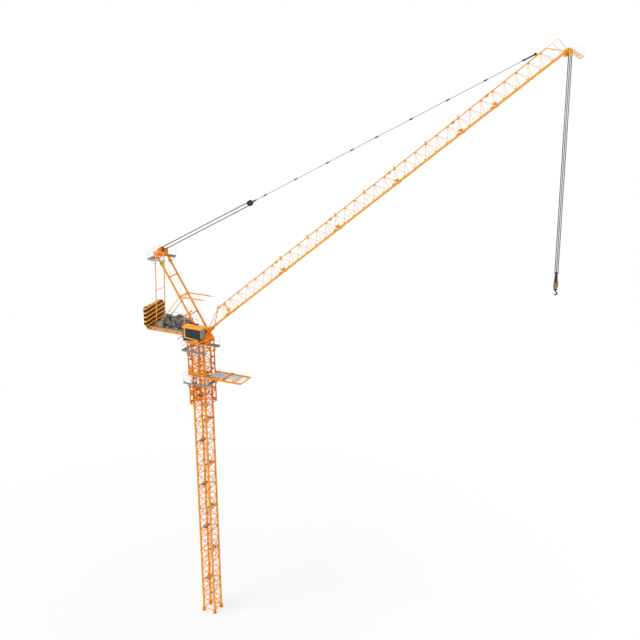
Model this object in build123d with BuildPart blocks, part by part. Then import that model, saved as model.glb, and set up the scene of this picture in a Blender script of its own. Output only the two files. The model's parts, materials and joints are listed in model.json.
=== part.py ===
from build123d import *
import os
from math import atan2, cos, degrees, hypot, radians, sin

# A tower crane with a luffing jib, as a 1:2 scale model: every size is in millimetres of the model.
# It is modelled about the slewing axis with the jib along +X, then moved so that the origin lies
# under the foot at -X, -Y. Lattice sides are flat sheets of bars, fused where the bars cross.

# Mast
mast_width = 810.0  # between chord centres
mast_chord = 76.0
mast_brace = 30.0
foot_height = 200.0
base_section_height = 2250.0
base_section_count = 2
base_section_bays = 3
mast_section_height = 1500.0
mast_section_count = 9
mast_section_bays = 2
joint_gap = 0.4  # between stacked sections and between planks of one deck
flange_radius = 110.0
flange_thickness = 24.0
flange_sides = 16
foot_post = 60.0

# Ladders and rest platforms inside the mast
ladder_width = 200.0
ladder_bar = 18.0
rung_pitch = 150.0
ladder_slope_run = 290.0
ladder_grip = 240.0  # above the platform that it reaches
platform_clearance = 0.3
rest_platform_depth = 300.0
rest_platform_thickness = 12.0

# Climbing cage round the mast top
cage_offset = 162.0  # from the mast's chord centres to the cage's post centres
cage_post = 60.0
cage_brace = 34.0
cage_height = 4000.0
cage_rise = 600.0  # of the cage above the top of the mast
cage_bays = 5
cage_front_bays = 2
cage_platform_depth = 233.0
cage_platform_thickness = 40.0
upper_platform_rise = 120.0  # of its top above the top of the mast
lower_platform_drop = 2000.0
rail_height = 550.0
rail_bar = 16.0
rail_post_pitch = 600.0
cylinder_x = -150.0
cylinder_radius = 36.0
cylinder_length = 1150.0
crosshead_length = 520.0
crosshead_height = 110.0

# Introducing beam on the front of the cage
beam_reach = 3040.0  # from the slewing axis
beam_drop = 1470.0  # below the top of the mast
beam_bar = 60.0
beam_cross_count = 4
grating_thickness = 14.0
stay_drop = 380.0  # below the top of the mast
stay_rod = 16.0

# Slewing support, ring and turntable
support_overhang = 8.0
support_plate_thickness = 50.0
ring_radius = 520.0
ring_sides = 48
ring_height = 60.0
ring_gap = 0.5
turntable_length = 1200.0
turntable_front_top = 420.0
turntable_width = 960.0
turntable_height = 650.0
turntable_step = 90.0
lug_thickness = 46.0
lug_gap = 1.0
pivot_radius = 100.0
pin_radius = 42.0
pin_clearance = 0.3
chord_clearance = 8.0

# Jib, with its pivot, in its own frame: along the jib, across, and square to it
pivot_x = 672.0
pivot_rise = 60.5  # above the turntable
luff_angle = 39.76  # degrees above level
jib_width = 680.0  # between bottom chords
jib_depth = 700.0  # from the bottom chords to the top chord
bottom_chord = 60.0
top_chord = 56.0
jib_web = 14.0
jib_bay = 738.0
first_top_node = 1740.0
knuckle_along = 1434.0
knuckle_leg = 40.0
knuckle_leg_foot = 150.0
foot_bays = 6
section_bays = 6
section_count = 3
short_bays = 3
head_bays = 6
stop_bar_along = 1940.0
stop_bar = 70.0
stop_bar_overhang = 80.0  # beyond the backstop rods

# Jib head and hoist
head_sheave_along = 26560.0
head_sheave_drop = 120.0  # below the bottom chords
head_sheave_radius = 66.0
sheave_thickness = 34.0
sheave_sides = 24
head_cheek_thickness = 16.0
head_cheek_gap = 130.0
tip_platform_length = 620.0
tip_platform_width = 680.0
tip_platform_thickness = 20.0
tip_platform_ahead = 150.0
tip_platform_rise = 20.0
tip_platform_tilt = 85.0  # degrees down from the line of the jib
tip_bracket_along = 126.0
tip_bracket = 60.0
tip_bracket_reach = 160.0
rope_radius = 12.0
rope_sides = 8
rope_spread = 50.0
hoist_spread = 50.0
rope_clearance = 0.3
block_drop = 10800.0  # from the head sheave to the top of the hook block
block_height = 840.0
block_width = 190.0
block_depth = 210.0
hook_height = 520.0
hook_bar = 60.0
hook_neck = 48.0
hook_bowl = 81.0
hook_sweep = 250.0
shank_radius = 20.0
shank_length = 140.0

# Deck behind the turntable
deck_end = -3130.0
deck_drop = 290.5  # from the turntable's top to the underside of the deck
deck_beam_height = 200.0
deck_beam = 90.0
deck_edge_beam = 50.0
deck_edge_height = 64.0
deck_width = 1560.0
deck_cross_beams = (-3105.0, -2800.0, -2000.0, -1250.0)
walkway_thickness = 15.0
slab_width = 2080.0
slab_height = 1410.0
slab_thickness = 75.0
slab_count = 2
slab_gap = 6.0
slab_chamfer = 310.0
slab_top_chamfers = (300.0, 60.0)  # far and near corner
ledge_thickness = 60.0
luffing_winch_x = -2360.0
hoist_winch_x = -1500.0
drum_radius = 170.0
drum_length = 560.0
drum_flange_radius = 250.0
drum_flange_thickness = 24.0
drum_height = 330.0
stand_thickness = 60.0
stand_top = 130.0
motor_radius = 105.0
motor_clearance = 10.0
hoist_motor_length = 210.0
cabinet_size = (300.0, 420.0, 460.0)
cabinet_x = -960.0
cabinet_chamfer = 20.0
davit_x = -800.0
davit_height = 920.0
davit_reach = 900.0
davit_bar = 50.0
davit_rise = 70.0

# Cab at the side of the turntable
cab_rear = -450.0
cab_front = 720.0
cab_near = -1200.0
cab_far = -600.0
cab_floor_rise = 259.5  # above the turntable's underside
cab_height = 830.0
cab_wall = 26.0
cab_frame = 70.0
cab_front_cut = 170.0
glass_thickness = 10.0
glass_clearance = 0.3
cab_platform_thickness = 80.0

# A-frame
frame_clearance = 110.0  # from the jib's chord centres to the legs and ties
frame_height = 4239.5  # from the turntable to the head beam
leg_bar = 84.0
tie_bar = 46.0
brace_bar = 40.0
leg_foot_x = 143.0
leg_top_x = -2422.3
tie_foot_x = -2800.0
tie_top_x = -2610.0
brace_share = 0.46695  # of the height of the legs
leg_cross_shares = (0.2217, brace_share, 0.7288)
head_beam_height = 300.0
head_beam_front = -2360.0
head_beam_rear = -2660.0
head_notch = 120.0  # for the sheaves, into the top of the beam
head_sheave_x = -2490.0
head_sheave_rise = 50.0  # above the head beam
luff_sheave_radius = 88.0
cheek_spread = 300.0
cheek_thickness = 24.0
cheek_top_radius = 150.0
head_platform_front = -1880.0
head_platform_rear = -3050.0
head_platform_drop = 150.0  # of its top below the head beam
head_platform_width = 1320.0
backstop_reach = 510.0
backstop_bar = 64.0
backstop_rod_radius = 18.0
backstop_rod_length = 240.0

# Luffing line
block_along_line = 7040.0
block_tail = 300.0
floating_block_radius = 165.0
floating_block_spread = 150.0
pendant_lug_setback = 1283.0  # from the end of the chords
pendant_lug_rise = 60.0
pendant_bar = 36.0
pendant_link = 70.0
pendant_lug = (84.0, 60.0, 160.0)
pendant_link_width = 110.0
pendant_link_length = 150.0
# places of the links, as shares of the pendants' length from the floating block
pendant_shares = (0.0045, 0.0465, 0.171, 0.295, 0.387, 0.4775, 0.6, 0.7235, 0.8475, 0.9725)

# Places worked out from the sizes above
mast_top = base_section_count * base_section_height + mast_section_count * mast_section_height
half = mast_width / 2
cage_width = mast_width + 2 * cage_offset
cage_top = mast_top + cage_rise
cage_bottom = cage_top - cage_height
cage_outer = (cage_width + cage_post) / 2
cage_platform_width = 2 * (cage_outer + cage_platform_depth)
support_plate = 2 * (cage_outer + support_overhang)
upper_platform_z = mast_top + upper_platform_rise - cage_platform_thickness
lower_platform_z = mast_top - lower_platform_drop
beam_z = mast_top - beam_drop
support_top = cage_top + support_plate_thickness
ring_bottom = support_top + ring_gap
turntable_bottom = ring_bottom + ring_height
turntable_top = turntable_bottom + turntable_height
pivot_z = turntable_top + pivot_rise
deck_bottom = turntable_top - deck_drop
deck_top = deck_bottom + deck_beam_height
cab_floor = turntable_bottom + cab_floor_rise
brace_height = turntable_top + brace_share * frame_height
head_beam_bottom = turntable_top + frame_height
head_beam_top = head_beam_bottom + head_beam_height
head_sheave_z = head_beam_top + head_sheave_rise
frame_spread = jib_width + 2 * frame_clearance
leg_y = frame_spread / 2
foot_y = jib_width / 2
section_length = section_bays * jib_bay
first_bottom_node = first_top_node + jib_bay / 2
section_start = first_bottom_node + foot_bays * jib_bay
short_start = section_start + section_count * section_length
head_start = short_start + short_bays * jib_bay
chord_end = head_start + head_bays * jib_bay
pendant_lug_along = chord_end - pendant_lug_setback
stop_bar_length = frame_spread + 2 * stop_bar_overhang

luff = radians(luff_angle)
jib_plane = Plane(
    origin=(pivot_x, 0, pivot_z), x_dir=(cos(luff), 0, sin(luff)), z_dir=(-sin(luff), 0, cos(luff))
)
jib_place = Location(jib_plane)
sheave_point = jib_plane.from_local_coords((head_sheave_along, 0, -head_sheave_drop))
pendant_end = jib_plane.from_local_coords(
    (pendant_lug_along, 0, jib_depth + top_chord / 2 + pendant_lug_rise)
)
head_sheave_point = Vector(head_sheave_x, 0, head_sheave_z)
line_direction = (pendant_end - head_sheave_point).normalized()
line_plane = Plane(
    origin=head_sheave_point,
    x_dir=line_direction,
    z_dir=(-line_direction.Z, 0, line_direction.X),
)
line_length = (pendant_end - head_sheave_point).length
to_foot = Location((half, half, 0))
written = []


def keep(shape, name):
    placed = shape.moved(to_foot)
    placed.label = name
    export_step(placed, f"parts/{name}.step")
    written.append(name)


def flat_bar(start, end, width):
    run, rise = end[0] - start[0], end[1] - start[1]
    with Locations(((start[0] + end[0]) / 2, (start[1] + end[1]) / 2)):
        Rectangle(hypot(run, rise), width, rotation=degrees(atan2(rise, run)))


def flat_lacing(width, height, bays, bar, base=0.0):
    """Level bars at every bay and one diagonal in each, zigzagging upwards, in the active sketch."""
    pitch = height / bays
    for k in range(bays + 1):
        level = base + min(max(k * pitch, bar / 2), height - bar / 2)
        flat_bar((-width / 2, level), (width / 2, level), bar)
    for k in range(bays):
        side = 1 if k % 2 else -1
        flat_bar((side * width / 2, base + k * pitch), (-side * width / 2, base + (k + 1) * pitch), bar)


def square_bar(start, end, size):
    axis = Vector(*end) - Vector(*start)
    across = (0, 1, 0) if abs(axis.normalized().Y) < 0.9 else (1, 0, 0)
    with BuildSketch(Plane(origin=start, x_dir=across, z_dir=axis)) as section:
        Rectangle(size, size)
    extrude(section.sketch, amount=axis.length)


def round_bar(start, end, radius):
    axis = Vector(*end) - Vector(*start)
    with BuildSketch(Plane(origin=start, z_dir=axis)) as section:
        RegularPolygon(radius, rope_sides)
    extrude(section.sketch, amount=axis.length)


def disc(at, radius, thickness):
    """A round plate or drum of few sides, centred on a point, with its axis along Y."""
    with BuildSketch(Plane(origin=at, x_dir=(1, 0, 0), z_dir=(0, -1, 0))) as face:
        RegularPolygon(radius, sheave_sides)
    extrude(face.sketch, amount=thickness / 2, both=True)


os.makedirs("parts", exist_ok=True)

# Mast feet: a stub between two round flanges under each chord
with BuildPart() as mast_feet:
    with BuildSketch():
        with GridLocations(mast_width, mast_width, 2, 2):
            RegularPolygon(flange_radius, flange_sides)
    extrude(amount=flange_thickness)
    with BuildSketch(Plane.XY.offset(foot_height - flange_thickness)):
        with GridLocations(mast_width, mast_width, 2, 2):
            RegularPolygon(flange_radius, flange_sides)
    extrude(amount=flange_thickness)
    with GridLocations(mast_width, mast_width, 2, 2):
        Box(foot_post, foot_post, foot_height, align=(Align.CENTER, Align.CENTER, Align.MIN))
keep(mast_feet.part, "mast_feet")


def side_frames(height, bays, width, post, brace):
    """Two flat side frames of a square tower, at +Y and -Y, standing on z = 0."""
    with BuildPart() as frames:
        for side in (-1, 1):
            plane = Plane.XZ.offset(side * width / 2)
            with BuildSketch(plane):
                for x in (-width / 2, width / 2):
                    flat_bar((x, 0), (x, height), post)
            extrude(amount=post / 2, both=True)
            with BuildSketch(plane):
                flat_lacing(width, height, bays, brace)
                with Locations((0, height / 2)):
                    Rectangle(width + post, height, mode=Mode.INTERSECT)
            extrude(amount=brace / 2, both=True)
    return frames.part


def section_lacing(height, bays, width, brace):
    """One flat lacing panel between the chords, in the YZ plane, standing on z = 0."""
    with BuildPart() as panel:
        with BuildSketch(Plane.YZ):
            flat_lacing(width, height, bays, brace)
            with Locations((0, height / 2)):
                Rectangle(width, height, mode=Mode.INTERSECT)
        extrude(amount=brace / 2, both=True)
    return panel.part


def together(shapes):
    with BuildPart() as group:
        add(shapes)
    return group.part


# Mast: chords in section lengths, and a flat lacing panel between them on each side of each section
clear_chords = mast_width - mast_chord
base_levels = [k * base_section_height for k in range(1, base_section_count)]
section_levels = [
    base_section_count * base_section_height + k * mast_section_height for k in range(mast_section_count)
]
joints = [foot_height] + base_levels + section_levels + [mast_top]
with BuildPart() as mast_chords:
    for low, high in zip(joints, joints[1:]):
        with Locations((0, 0, low)):
            with GridLocations(mast_width, mast_width, 2, 2):
                Box(mast_chord, mast_chord, high - low - joint_gap,
                    align=(Align.CENTER, Align.CENTER, Align.MIN))
keep(mast_chords.part, "mast_chords")

lower_height = base_section_height - foot_height - joint_gap
lower_panel = section_lacing(lower_height, base_section_bays, clear_chords, mast_brace)
upper_panel = section_lacing(base_section_height - joint_gap, base_section_bays, clear_chords, mast_brace)
mast_panel = section_lacing(mast_section_height - joint_gap, mast_section_bays, clear_chords, mast_brace)
panels = [lower_panel.moved(Location((0, 0, foot_height)))]
panels += [upper_panel.moved(Location((0, 0, z))) for z in base_levels]
panels += [mast_panel.moved(Location((0, 0, z))) for z in section_levels]
for name, turn in (
    ("mast_lacing_front", 0),
    ("mast_lacing_left", 90),
    ("mast_lacing_rear", 180),
    ("mast_lacing_right", 270),
):
    place = Location((0, 0, 0), (0, 0, turn)) * Location((half, 0, 0))
    keep(together([panel.moved(place) for panel in panels]), name)

# Rest platforms, alternately at the rear and front, each on a section's lowest level bar
platform_levels = base_levels + section_levels
lacing_face = half - mast_brace / 2
with BuildPart() as mast_rest_platforms:
    for k, z in enumerate(platform_levels):
        side = 1 if k % 2 else -1
        with Locations((side * (lacing_face - rest_platform_depth / 2), 0, z + mast_brace / 2)):
            Box(rest_platform_depth, clear_chords - 40, rest_platform_thickness)
keep(mast_rest_platforms.part, "mast_rest_platforms")

# Ladders: each flight stands on one rest platform and passes the free edge of the next
platform_edge = lacing_face - rest_platform_depth
rest_top = mast_brace / 2 + rest_platform_thickness / 2
flights = []
floors = [0.0] + [z + rest_top for z in platform_levels]
for k, (low, high) in enumerate(zip(floors, floors[1:])):
    side = 1 if k % 2 else -1
    lean = side * ladder_slope_run / (high - low)
    top_x = side * (platform_edge - platform_clearance - ladder_bar / 2)
    foot_x = top_x - lean * (high - low)
    grip = high + ladder_grip
    with BuildPart() as flight:
        with BuildSketch(Plane.XZ):
            with BuildLine():
                Polyline(
                    (foot_x - ladder_bar / 2, low),
                    (foot_x + ladder_bar / 2, low),
                    (foot_x + lean * (grip - low) + ladder_bar / 2, grip),
                    (foot_x + lean * (grip - low) - ladder_bar / 2, grip),
                    close=True,
                )
            make_face()
        extrude(amount=ladder_width / 2, both=True)
        rungs = int((grip - low) / rung_pitch)
        with Locations(*[
            (foot_x + lean * (r + 0.5) * rung_pitch, 0, low + (r + 0.5) * rung_pitch) for r in range(rungs)
        ]):
            Box(4 * ladder_bar, ladder_width - 2 * ladder_bar, rung_pitch - ladder_bar, mode=Mode.SUBTRACT)
    flights.append(flight.part)
keep(together(flights), "mast_ladders")


# Climbing cage: side frames, rear lacing, and front lacing below the way in for a new section
cage_frames = side_frames(cage_height, cage_bays, cage_width, cage_post, cage_brace)
keep(cage_frames.moved(Location((0, 0, cage_bottom))), "climbing_cage_sides")
cage_clear = cage_width - cage_post
rear_panel = section_lacing(cage_height, cage_bays, cage_clear, cage_brace)
cage_pitch = cage_height / cage_bays
front_panel = section_lacing(cage_front_bays * cage_pitch, cage_front_bays, cage_clear, cage_brace)
keep(
    together([
        rear_panel.moved(Location((-cage_width / 2, 0, cage_bottom))),
        front_panel.moved(Location((cage_width / 2, 0, cage_bottom))),
    ]),
    "climbing_cage_lacing",
)

# Cage platforms: planks round the posts at two levels, the upper one open at the front
plank_middle = cage_outer + cage_platform_depth / 2
with BuildPart() as cage_platforms:
    for z in (lower_platform_z, upper_platform_z):
        with Locations((0, 0, z + cage_platform_thickness / 2)):
            with Locations((0, -plank_middle, 0), (0, plank_middle, 0)):
                Box(cage_platform_width, cage_platform_depth, cage_platform_thickness)
            for side in (-1, 1) if z == lower_platform_z else (-1,):
                with Locations((side * plank_middle, 0, 0)):
                    Box(cage_platform_depth, 2 * (cage_outer - joint_gap), cage_platform_thickness)
keep(cage_platforms.part, "cage_platforms")


def rail_run(length, plane):
    """One flat run of handrail, its foot along the plane's x axis."""
    posts = max(2, round(length / rail_post_pitch) + 1)
    with BuildPart() as run:
        with BuildSketch(plane):
            for k in range(posts):
                at = -length / 2 + rail_bar / 2 + k * (length - rail_bar) / (posts - 1)
                flat_bar((at, 0), (at, rail_height), rail_bar)
            for level in (rail_height / 2, rail_height - rail_bar / 2):
                flat_bar((-length / 2, level), (length / 2, level), rail_bar)
        extrude(amount=rail_bar / 2, both=True)
    return run.part


def upright(x, y, z, along):
    """A vertical plane whose x axis runs along the given level direction."""
    return Plane(origin=(x, y, z), x_dir=along, z_dir=Vector(*along).cross(Vector(0, 0, 1)))


rail_edge = (cage_platform_width - rail_bar) / 2
short_rail = cage_platform_width - 2 * (rail_bar + joint_gap)
cage_rails = []
for z in (lower_platform_z, upper_platform_z):
    foot = z + cage_platform_thickness
    for side in (-1, 1):
        cage_rails.append(rail_run(cage_platform_width, upright(0, side * rail_edge, foot, (1, 0, 0))))
    cage_rails.append(rail_run(short_rail, upright(-rail_edge, 0, foot, (0, 1, 0))))
keep(together(cage_rails), "cage_handrails")

# Climbing cylinder in the gap between the mast and the cage, hung from a level bar of the cage
cage_bar_z = cage_bottom + cage_front_bays * cage_pitch
cage_inner = (cage_width - cage_brace) / 2
mast_outer = half + mast_chord / 2
cylinder_y = -(cage_inner + mast_outer) / 2
bracket = 2 * cylinder_radius
bracket_bottom = cage_bar_z - bracket
bracket_reach = cage_inner + cylinder_y + cylinder_radius
hung = (Align.CENTER, Align.CENTER, Align.MAX)
with BuildPart() as climbing_cylinder:
    with Locations((cylinder_x, bracket_reach / 2 - cage_inner, cage_bar_z)):
        Box(bracket, bracket_reach, bracket, align=hung)
    with Locations((cylinder_x, cylinder_y, bracket_bottom)):
        Cylinder(cylinder_radius, cylinder_length, align=hung)
    with Locations((cylinder_x, cylinder_y, bracket_bottom - cylinder_length)):
        Box(crosshead_length, bracket, crosshead_height, align=hung)
keep(climbing_cylinder.part, "climbing_cylinder")

# Introducing beam: a level frame on the cage's front posts, with two gratings and two stays
beam_length = beam_reach - cage_outer
with BuildPart() as introducing_beam:
    with BuildSketch(Plane.XY.offset(beam_z)):
        for y in (-cage_width / 2, cage_width / 2):
            flat_bar((cage_outer, y), (beam_reach, y), beam_bar)
        for k in range(1, beam_cross_count + 1):
            x = cage_outer + k * (beam_length - beam_bar / 2) / beam_cross_count
            flat_bar((x, -cage_width / 2), (x, cage_width / 2), beam_bar)
    extrude(amount=beam_bar / 2, both=True)
keep(introducing_beam.part, "introducing_beam")
grating_length = (beam_length - beam_bar / 2) / beam_cross_count - 2 * beam_bar
with BuildPart() as introducing_gratings:
    for k in (0, 1, 2):
        x = cage_outer + (k + 0.5) * (beam_length - beam_bar / 2) / beam_cross_count + beam_bar / 2
        with Locations((x, 0, beam_z + beam_bar / 2 + grating_thickness / 2)):
            Box(grating_length + beam_bar, cage_width, grating_thickness)
keep(introducing_gratings.part, "introducing_gratings")
stay_low = beam_z + beam_bar / 2
stay_foot = (beam_reach - 3 * beam_bar, stay_low)
stay_top = (cage_outer, mast_top - stay_drop)
with BuildPart() as introducing_stays:
    for y in (-cage_width / 2, cage_width / 2):
        fall = (stay_foot[1] - stay_top[1]) / (stay_foot[0] - stay_top[0])
        with BuildSketch(Plane.XZ.offset(-y)):
            flat_bar((stay_top[0] - beam_bar, stay_top[1] - fall * beam_bar),
                     (stay_foot[0] + beam_bar, stay_foot[1] + fall * beam_bar), stay_rod)
        extrude(amount=stay_rod / 2, both=True)
    split(bisect_by=Plane.YZ.offset(cage_outer), keep=Keep.TOP)
    split(bisect_by=Plane.XY.offset(stay_low), keep=Keep.TOP)
keep(introducing_stays.part, "introducing_stays")

# Slewing support: a short laced section on the mast top, under a plate that also covers the cage
support_panel = section_lacing(cage_rise, 1, clear_chords, mast_brace)
with BuildPart() as slewing_support:
    with Locations((0, 0, cage_top)):
        Box(support_plate, support_plate, support_plate_thickness,
            align=(Align.CENTER, Align.CENTER, Align.MIN))
    with Locations((0, 0, mast_top)):
        with GridLocations(mast_width, mast_width, 2, 2):
            Box(mast_chord, mast_chord, cage_rise, align=(Align.CENTER, Align.CENTER, Align.MIN))
    for turn in (0, 90, 180, 270):
        add(support_panel.moved(Location((0, 0, mast_top), (0, 0, turn)) * Location((half, 0, 0))))
keep(slewing_support.part, "slewing_support")
with BuildPart() as slewing_ring:
    with BuildSketch(Plane.XY.offset(ring_bottom)):
        RegularPolygon(ring_radius, ring_sides)
    extrude(amount=ring_height)
keep(slewing_ring.part, "slewing_ring")

# Turntable: a box with a hollowed front below the two forks that carry the jib
clevis_offset = lug_thickness + lug_gap
with BuildPart() as turntable:
    with BuildSketch(Plane.XZ):
        with BuildLine():
            front = turntable_length / 2
            step = turntable_bottom + turntable_step
            rise = front - turntable_front_top
            Polyline((turntable_front_top, step + rise), (turntable_front_top, turntable_top),
                     (-front, turntable_top), (-front, turntable_bottom), (front, turntable_bottom),
                     (front, step))
            RadiusArc((front, step), (turntable_front_top, step + rise), -rise)
        make_face()
    extrude(amount=turntable_width / 2, both=True)
    for y in (-foot_y, foot_y):
        for shift in (-clevis_offset, clevis_offset):
            with BuildSketch(Plane.XZ.offset(-(y + shift))):
                with BuildLine():
                    Line((turntable_front_top - 10, step + rise), (turntable_front_top - 10, turntable_top))
                    CenterArc((pivot_x, pivot_z), pivot_radius, 0, 360)
                make_hull()
                with Locations((pivot_x, pivot_z)):
                    Circle(pin_radius + pin_clearance, mode=Mode.SUBTRACT)
            extrude(amount=lug_thickness / 2, both=True)
keep(turntable.part, "turntable")
with BuildPart() as jib_pivot_pins:
    with Locations((pivot_x, -foot_y, pivot_z), (pivot_x, foot_y, pivot_z)):
        Cylinder(pin_radius, 3 * lug_thickness + 4 * lug_gap, rotation=(90, 0, 0))
keep(jib_pivot_pins.part, "jib_pivot_pins")

# Deck: main beams under the ties, edge beams, cross beams and ledges for the counterweights
turntable_rear = -turntable_length / 2
edge_y = (deck_width - deck_edge_beam) / 2
slab_pack = slab_count * (slab_thickness + slab_gap)
with BuildPart() as deck_frame:
    with BuildSketch(Plane.XY.offset(deck_bottom)):
        for y in (-frame_spread / 2, frame_spread / 2):
            flat_bar((deck_end, y), (turntable_rear, y), deck_beam)
        for x in deck_cross_beams + (turntable_rear - deck_beam,):
            flat_bar((x, -deck_width / 2), (x, deck_width / 2), deck_edge_beam)
    extrude(amount=deck_beam_height)
    for level in (deck_bottom, deck_top - deck_edge_height):
        with BuildSketch(Plane.XY.offset(level)):
            for y in (-edge_y, edge_y):
                flat_bar((deck_end, y), (turntable_rear - deck_beam, y), deck_edge_beam)
        extrude(amount=deck_edge_height)
    with BuildSketch(Plane.XY.offset(deck_bottom)):
        for y in (-frame_spread / 2, frame_spread / 2):
            flat_bar((deck_end - slab_pack, y), (deck_end, y), deck_beam)
        for y in (-edge_y, edge_y):
            flat_bar((deck_end - slab_pack, y), (deck_end, y), deck_edge_beam)
    extrude(amount=ledge_thickness)
keep(deck_frame.part, "deck_frame")

walkway_inner = (frame_spread + deck_beam) / 2
walkway_length = turntable_rear - deck_beam - deck_end
walkway_middle = (turntable_rear - deck_beam + deck_end) / 2
with BuildPart() as deck_walkways:
    for side in (-1, 1):
        with Locations((walkway_middle, side * (walkway_inner + deck_width / 2) / 2, deck_top)):
            Box(walkway_length, deck_width / 2 - walkway_inner, walkway_thickness,
                align=(Align.CENTER, Align.CENTER, Align.MIN))
keep(deck_walkways.part, "deck_walkways")
rail_y = (deck_width - rail_bar) / 2
rail_foot = upright(walkway_middle, rail_y, deck_top + walkway_thickness, (1, 0, 0))
keep(rail_run(walkway_length, rail_foot), "deck_handrails")

with BuildPart() as counterweights:
    for k in range(slab_count):
        x = deck_end - (k + 1) * (slab_thickness + slab_gap)
        with BuildSketch(Plane.YZ.offset(x)) as slab:
            with Locations((0, deck_bottom + ledge_thickness + slab_height / 2)):
                Rectangle(slab_width, slab_height)
            chamfer(slab.vertices().group_by(Axis.Y)[-1].sort_by(Axis.X)[-1], slab_top_chamfers[0])
            chamfer(slab.vertices().group_by(Axis.Y)[-1].sort_by(Axis.X)[0], slab_top_chamfers[1])
            chamfer(slab.vertices().group_by(Axis.Y)[0], slab_chamfer)
        extrude(amount=slab_thickness)
keep(counterweights.part, "counterweights")


def winch(x, motor_side, motor_length):
    """A rope drum between two stands on a skid that lies across the main beams."""
    axis_z = deck_top + drum_height
    reach = drum_length / 2
    with BuildPart() as machine:
        for run in (-drum_radius, drum_radius):
            with Locations((x + run, 0, deck_top)):
                Box(stand_thickness, frame_spread, stand_thickness,
                    align=(Align.CENTER, Align.CENTER, Align.MIN))
        for side in (-1, 1):
            with BuildSketch(Plane.XZ.offset(side * (reach + stand_thickness / 2))):
                with BuildLine():
                    foot = drum_radius + stand_thickness / 2
                    Line((x - foot, deck_top), (x + foot, deck_top))
                    Line((x - stand_top / 2, axis_z + stand_top), (x + stand_top / 2, axis_z + stand_top))
                make_hull()
            extrude(amount=stand_thickness / 2, both=True)
            flange_y = side * (reach - drum_flange_thickness / 2)
            disc((x, flange_y, axis_z), drum_flange_radius, drum_flange_thickness)
        disc((x, 0, axis_z), drum_radius, drum_length)
        motor_y = reach + stand_thickness + motor_length / 2
        disc((x, motor_side * motor_y, axis_z), motor_radius, motor_length)
    return machine.part


brace_face = frame_spread / 2 - brace_bar / 2
luffing_motor_length = brace_face - motor_clearance - drum_length / 2 - stand_thickness
keep(winch(luffing_winch_x, 1, luffing_motor_length), "luffing_winch")
keep(winch(hoist_winch_x, -1, hoist_motor_length), "hoist_winch")

with BuildPart() as electrical_cabinet:
    cabinet_y = (frame_spread + deck_beam) / 2 - cabinet_size[1] / 2
    with Locations((cabinet_x, cabinet_y, deck_top)):
        Box(*cabinet_size, align=(Align.CENTER, Align.CENTER, Align.MIN))
    chamfer(electrical_cabinet.faces().sort_by(Axis.Z)[-1].edges(), cabinet_chamfer)
keep(electrical_cabinet.part, "electrical_cabinet")

with BuildPart() as service_davit:
    davit_y = -frame_spread / 2
    davit_top = deck_top + davit_height
    square_bar((davit_x, davit_y, deck_top), (davit_x, davit_y, davit_top), davit_bar)
    square_bar((davit_x, davit_y - davit_bar / 2, davit_top - davit_bar / 2),
               (davit_x, davit_y + davit_reach, davit_top - davit_bar / 2 + davit_rise), davit_bar)
    square_bar((davit_x, davit_y, davit_top - davit_reach / 3),
               (davit_x, davit_y + davit_reach / 3, davit_top - davit_bar / 2), davit_bar * 0.7)
keep(service_davit.part, "service_davit")

# Cab: a shell with windows on three sides, its panes, and the platform that carries it
cab_length = cab_front - cab_rear
cab_width = cab_far - cab_near
cab_middle = ((cab_front + cab_rear) / 2, (cab_near + cab_far) / 2)
platform_inner = -turntable_width / 2
with BuildPart() as cab_platform:
    with Locations((cab_middle[0], (cab_near + platform_inner) / 2, cab_floor)):
        Box(cab_length - 2 * cab_frame, platform_inner - cab_near, cab_platform_thickness,
            align=(Align.CENTER, Align.CENTER, Align.MAX))
keep(cab_platform.part, "cab_platform")


def cab_outline(inset):
    """The cab seen from the side, with its lower front corner cut back, in the active sketch."""
    with BuildLine() as outline:
        Polyline(
            (cab_rear + inset, cab_floor + inset),
            (cab_front - cab_front_cut - inset / 2, cab_floor + inset),
            (cab_front - inset, cab_floor + cab_front_cut + inset / 2),
            (cab_front - inset, cab_floor + cab_height - inset),
            (cab_rear + inset, cab_floor + cab_height - inset),
            close=True,
        )
    make_face(outline.edges())


def cab_window(inset):
    """The side window, in the active sketch."""
    low = cab_floor + 2 * cab_frame + inset
    high = cab_floor + cab_height - cab_frame - inset
    with BuildLine() as outline:
        Polyline((cab_rear + 2 * cab_frame + inset, low), (cab_front - cab_front_cut - inset, low),
                 (cab_front - cab_frame - inset, low + cab_frame), (cab_front - cab_frame - inset, high),
                 (cab_rear + 2 * cab_frame + inset, high), close=True)
    make_face(outline.edges())


front_low = cab_floor + cab_front_cut + cab_frame
front_high = cab_floor + cab_height - cab_frame
with BuildPart() as cab_shell:
    with BuildSketch(Plane.XZ.offset(-cab_middle[1])):
        cab_outline(0)
    extrude(amount=cab_width / 2, both=True)
    with BuildSketch(Plane.XZ.offset(-cab_middle[1])):
        cab_outline(cab_wall)
    extrude(amount=cab_width / 2 - cab_wall, both=True, mode=Mode.SUBTRACT)
    with BuildSketch(Plane.XZ.offset(-cab_middle[1])):
        cab_window(0)
    extrude(amount=cab_width, both=True, mode=Mode.SUBTRACT)
    with Locations((cab_front, cab_middle[1], (front_low + front_high) / 2)):
        Box(3 * cab_wall, cab_width - 2 * cab_frame, front_high - front_low, mode=Mode.SUBTRACT)
keep(cab_shell.part, "cab_shell")
with BuildPart() as cab_glass:
    for y in (cab_near + cab_wall / 2, cab_far - cab_wall / 2):
        with BuildSketch(Plane.XZ.offset(-y)):
            cab_window(glass_clearance)
        extrude(amount=glass_thickness / 2, both=True)
    with Locations((cab_front - cab_wall / 2, cab_middle[1], (front_low + front_high) / 2)):
        Box(glass_thickness, cab_width - 2 * cab_frame - 2 * glass_clearance,
            front_high - front_low - 2 * glass_clearance)
keep(cab_glass.part, "cab_glass")

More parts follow.
